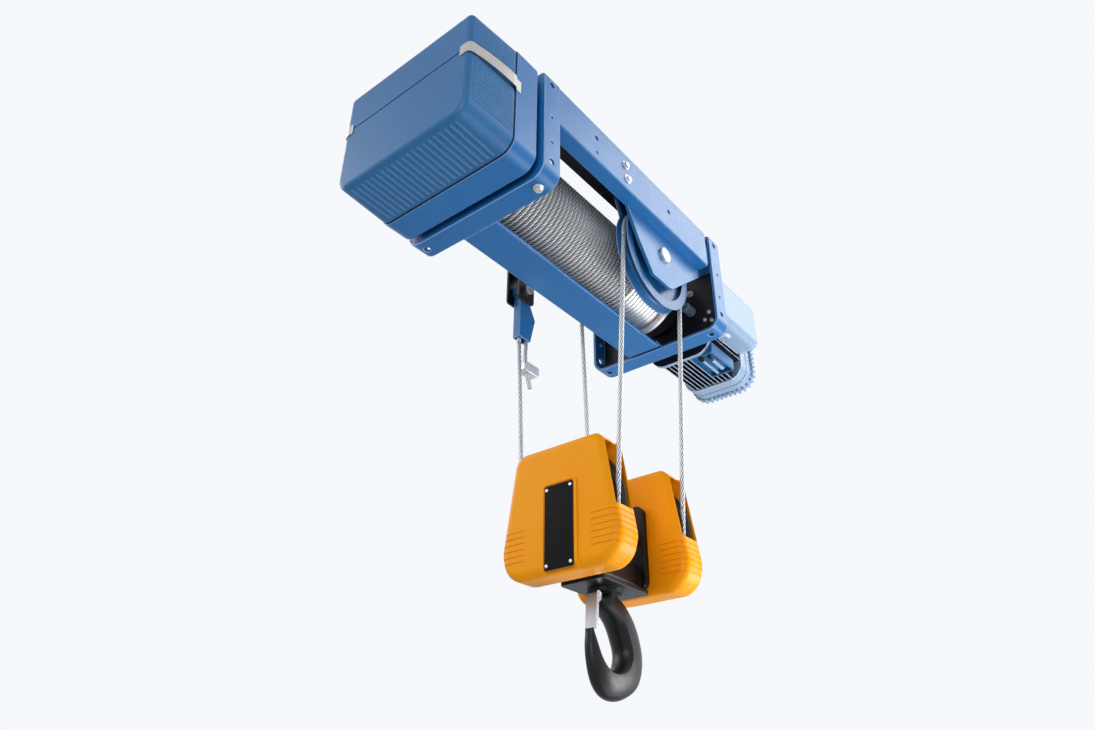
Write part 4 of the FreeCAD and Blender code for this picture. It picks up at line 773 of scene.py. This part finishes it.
def cover_seam():
    """The dark line where the fan cover meets the motor's end ring."""
    half, corner, low, high, rise = 0.0990, 0.0490, 0.6645, 0.6662, 0.0004
    steps = 16
    rim = []
    for quarter in range(4):
        facing = math.pi / 2 * quarter + math.pi / 4
        middle = Vector((math.cos(facing), math.sin(facing))) * math.sqrt(2.0) * (half - corner)
        for index in range(steps + 1):
            angle = math.pi / 2 * (quarter + index / steps)
            rim.append((middle.x, middle.y, math.cos(angle), math.sin(angle)))
    rows = ((low, corner - rise), (low, corner + rise), (high, corner + rise), (high, corner - rise))
    verts, faces = [], []
    for x, reach in rows:
        for across, up, side, lift in rim:
            verts.append((x, motor_axis[0] + across + side * reach, motor_axis[1] + up + lift * reach))
    for row in range(len(rows)):
        first, second = row * len(rim), (row + 1) % len(rows) * len(rim)
        for index in range(len(rim)):
            along = (index + 1) % len(rim)
            faces.append((first + index, first + along, second + along, second + index))
    shown("fan_cover_seam", new_mesh("cover_seam", verts, faces), "frame", "gasket", smooth=False)


frame_fasteners()
pin_head()
load_plate_screws()
far_web_fasteners()
drive_fittings()
lid_ribs()
cover_seam()


# Nodes whose own form is shown
for name, shape in nodes.items():
    if shape.hide_render:
        continue
    shape.data.materials.clear()
    shape.data.materials.append(finishes[slot_of(name)])


# Setting: floor, backdrop, light and camera

def stage():
    """The pale floor, below the hook at its lowest. It glows only where it is seen or mirrored."""
    reach, low = 40.0, -7.40
    unlit, pale = (0.0, 0.0, 0.0, 1.0), (0.43, 0.44, 0.45, 1.0)
    corners = [(-reach, -reach, low), (reach, -reach, low), (reach, reach, low), (-reach, reach, low)]
    mesh = new_mesh("floor", corners, [(0, 1, 2, 3)])
    floor = bpy.data.objects.new("floor", mesh)
    bpy.context.scene.collection.objects.link(floor)
    finish = Finish("floor_pale", (0.80, 0.81, 0.83), 0.9)
    seen = finish.node("ShaderNodeLightPath", output="Is Camera Ray")
    for ray in ("Is Glossy Ray", "Is Transmission Ray"):
        seen = seen.sum("MAXIMUM", seen, finish.node("ShaderNodeLightPath", output=ray))
    finish.feed("Emission Color", finish.mix(seen, unlit, pale))
    finish.shader.inputs["Emission Strength"].default_value = 1.0
    mesh.materials.append(finish.material)


def lamp(name, spot, target, size, power, color=(1.0, 1.0, 1.0)):
    """A soft round lamp, turned to its target."""
    light = bpy.data.lights.new(name, "AREA")
    light.shape = "DISK"
    light.size, light.energy, light.color = size, power, color
    holder = bpy.data.objects.new(name, light)
    bpy.context.scene.collection.objects.link(holder)
    holder.location = spot
    holder.rotation_euler = (Vector(target) - Vector(spot)).to_track_quat("-Z", "Y").to_euler()


def surroundings():
    """A soft light from all round, and a pale backdrop where it is seen or mirrored."""
    world = bpy.data.worlds.new("surroundings")
    world.use_nodes = True
    bpy.context.scene.world = world
    tree = world.node_tree
    tree.nodes.clear()
    path = tree.nodes.new("ShaderNodeLightPath")
    soft, pale, blend = (tree.nodes.new(kind) for kind in
                         ("ShaderNodeBackground", "ShaderNodeBackground", "ShaderNodeMixShader"))
    soft.inputs["Color"].default_value = (0.86, 0.90, 1.0, 1.0)
    soft.inputs["Strength"].default_value = 0.40
    pale.inputs["Color"].default_value = (0.92, 0.94, 0.97, 1.0)
    pale.inputs["Strength"].default_value = 1.0
    seen = path.outputs["Is Camera Ray"]
    for ray in ("Is Glossy Ray", "Is Transmission Ray"):
        either = tree.nodes.new("ShaderNodeMath")
        either.operation = "MAXIMUM"
        tree.links.new(seen, either.inputs[0])
        tree.links.new(path.outputs[ray], either.inputs[1])
        seen = either.outputs[0]
    out = tree.nodes.new("ShaderNodeOutputWorld")
    tree.links.new(seen, blend.inputs[0])
    tree.links.new(soft.outputs[0], blend.inputs[1])
    tree.links.new(pale.outputs[0], blend.inputs[2])
    tree.links.new(blend.outputs[0], out.inputs["Surface"])


def photographer():
    """The camera at the photograph's place, worked out from the frame's straight edges."""
    focal_pixels, photo_width, sensor = 829.0, 1095.0, 36.0
    yaw, pitch, roll = math.radians(50.84), math.radians(30.51), math.radians(0.45)
    spot = (-1.4130, -1.0445, -1.5623)
    camera = bpy.data.cameras.new("camera")
    camera.sensor_width = sensor
    camera.lens = focal_pixels / photo_width * sensor
    camera.clip_start, camera.clip_end = 0.05, 60.0
    holder = bpy.data.objects.new("camera", camera)
    bpy.context.scene.collection.objects.link(holder)
    ahead = Vector((math.sin(yaw) * math.cos(pitch), math.cos(yaw) * math.cos(pitch), math.sin(pitch)))
    level = Vector((math.cos(yaw), -math.sin(yaw), 0))
    rise = level.cross(ahead)
    right = level * math.cos(roll) + rise * math.sin(roll)
    up = rise * math.cos(roll) - level * math.sin(roll)
    turn = Matrix((right, up, -ahead)).transposed().to_4x4()
    holder.matrix_world = Matrix.Translation(spot) @ turn
    bpy.context.scene.camera = holder


stage()
surroundings()
photographer()
bpy.context.scene.view_settings.view_transform = "Standard"
lamp("key", (2.4, -2.2, 1.6), (0.1, -0.1, -0.4), 2.6, 82.0)
lamp("low_right", (1.25, -1.0, -1.35), (0.3, 0.0, -0.55), 0.8, 24.0)
lamp("under", (0.9, -1.6, -2.9), (0.1, 0.0, -0.3), 2.4, 36.0)
lamp("fill", (-2.8, -1.2, -0.6), (0.0, 0.0, -0.4), 2.0, 44.0, (0.94, 0.97, 1.0))
lamp("back", (-1.2, 2.6, 0.8), (0.0, 0.0, -0.4), 2.4, 50.0)
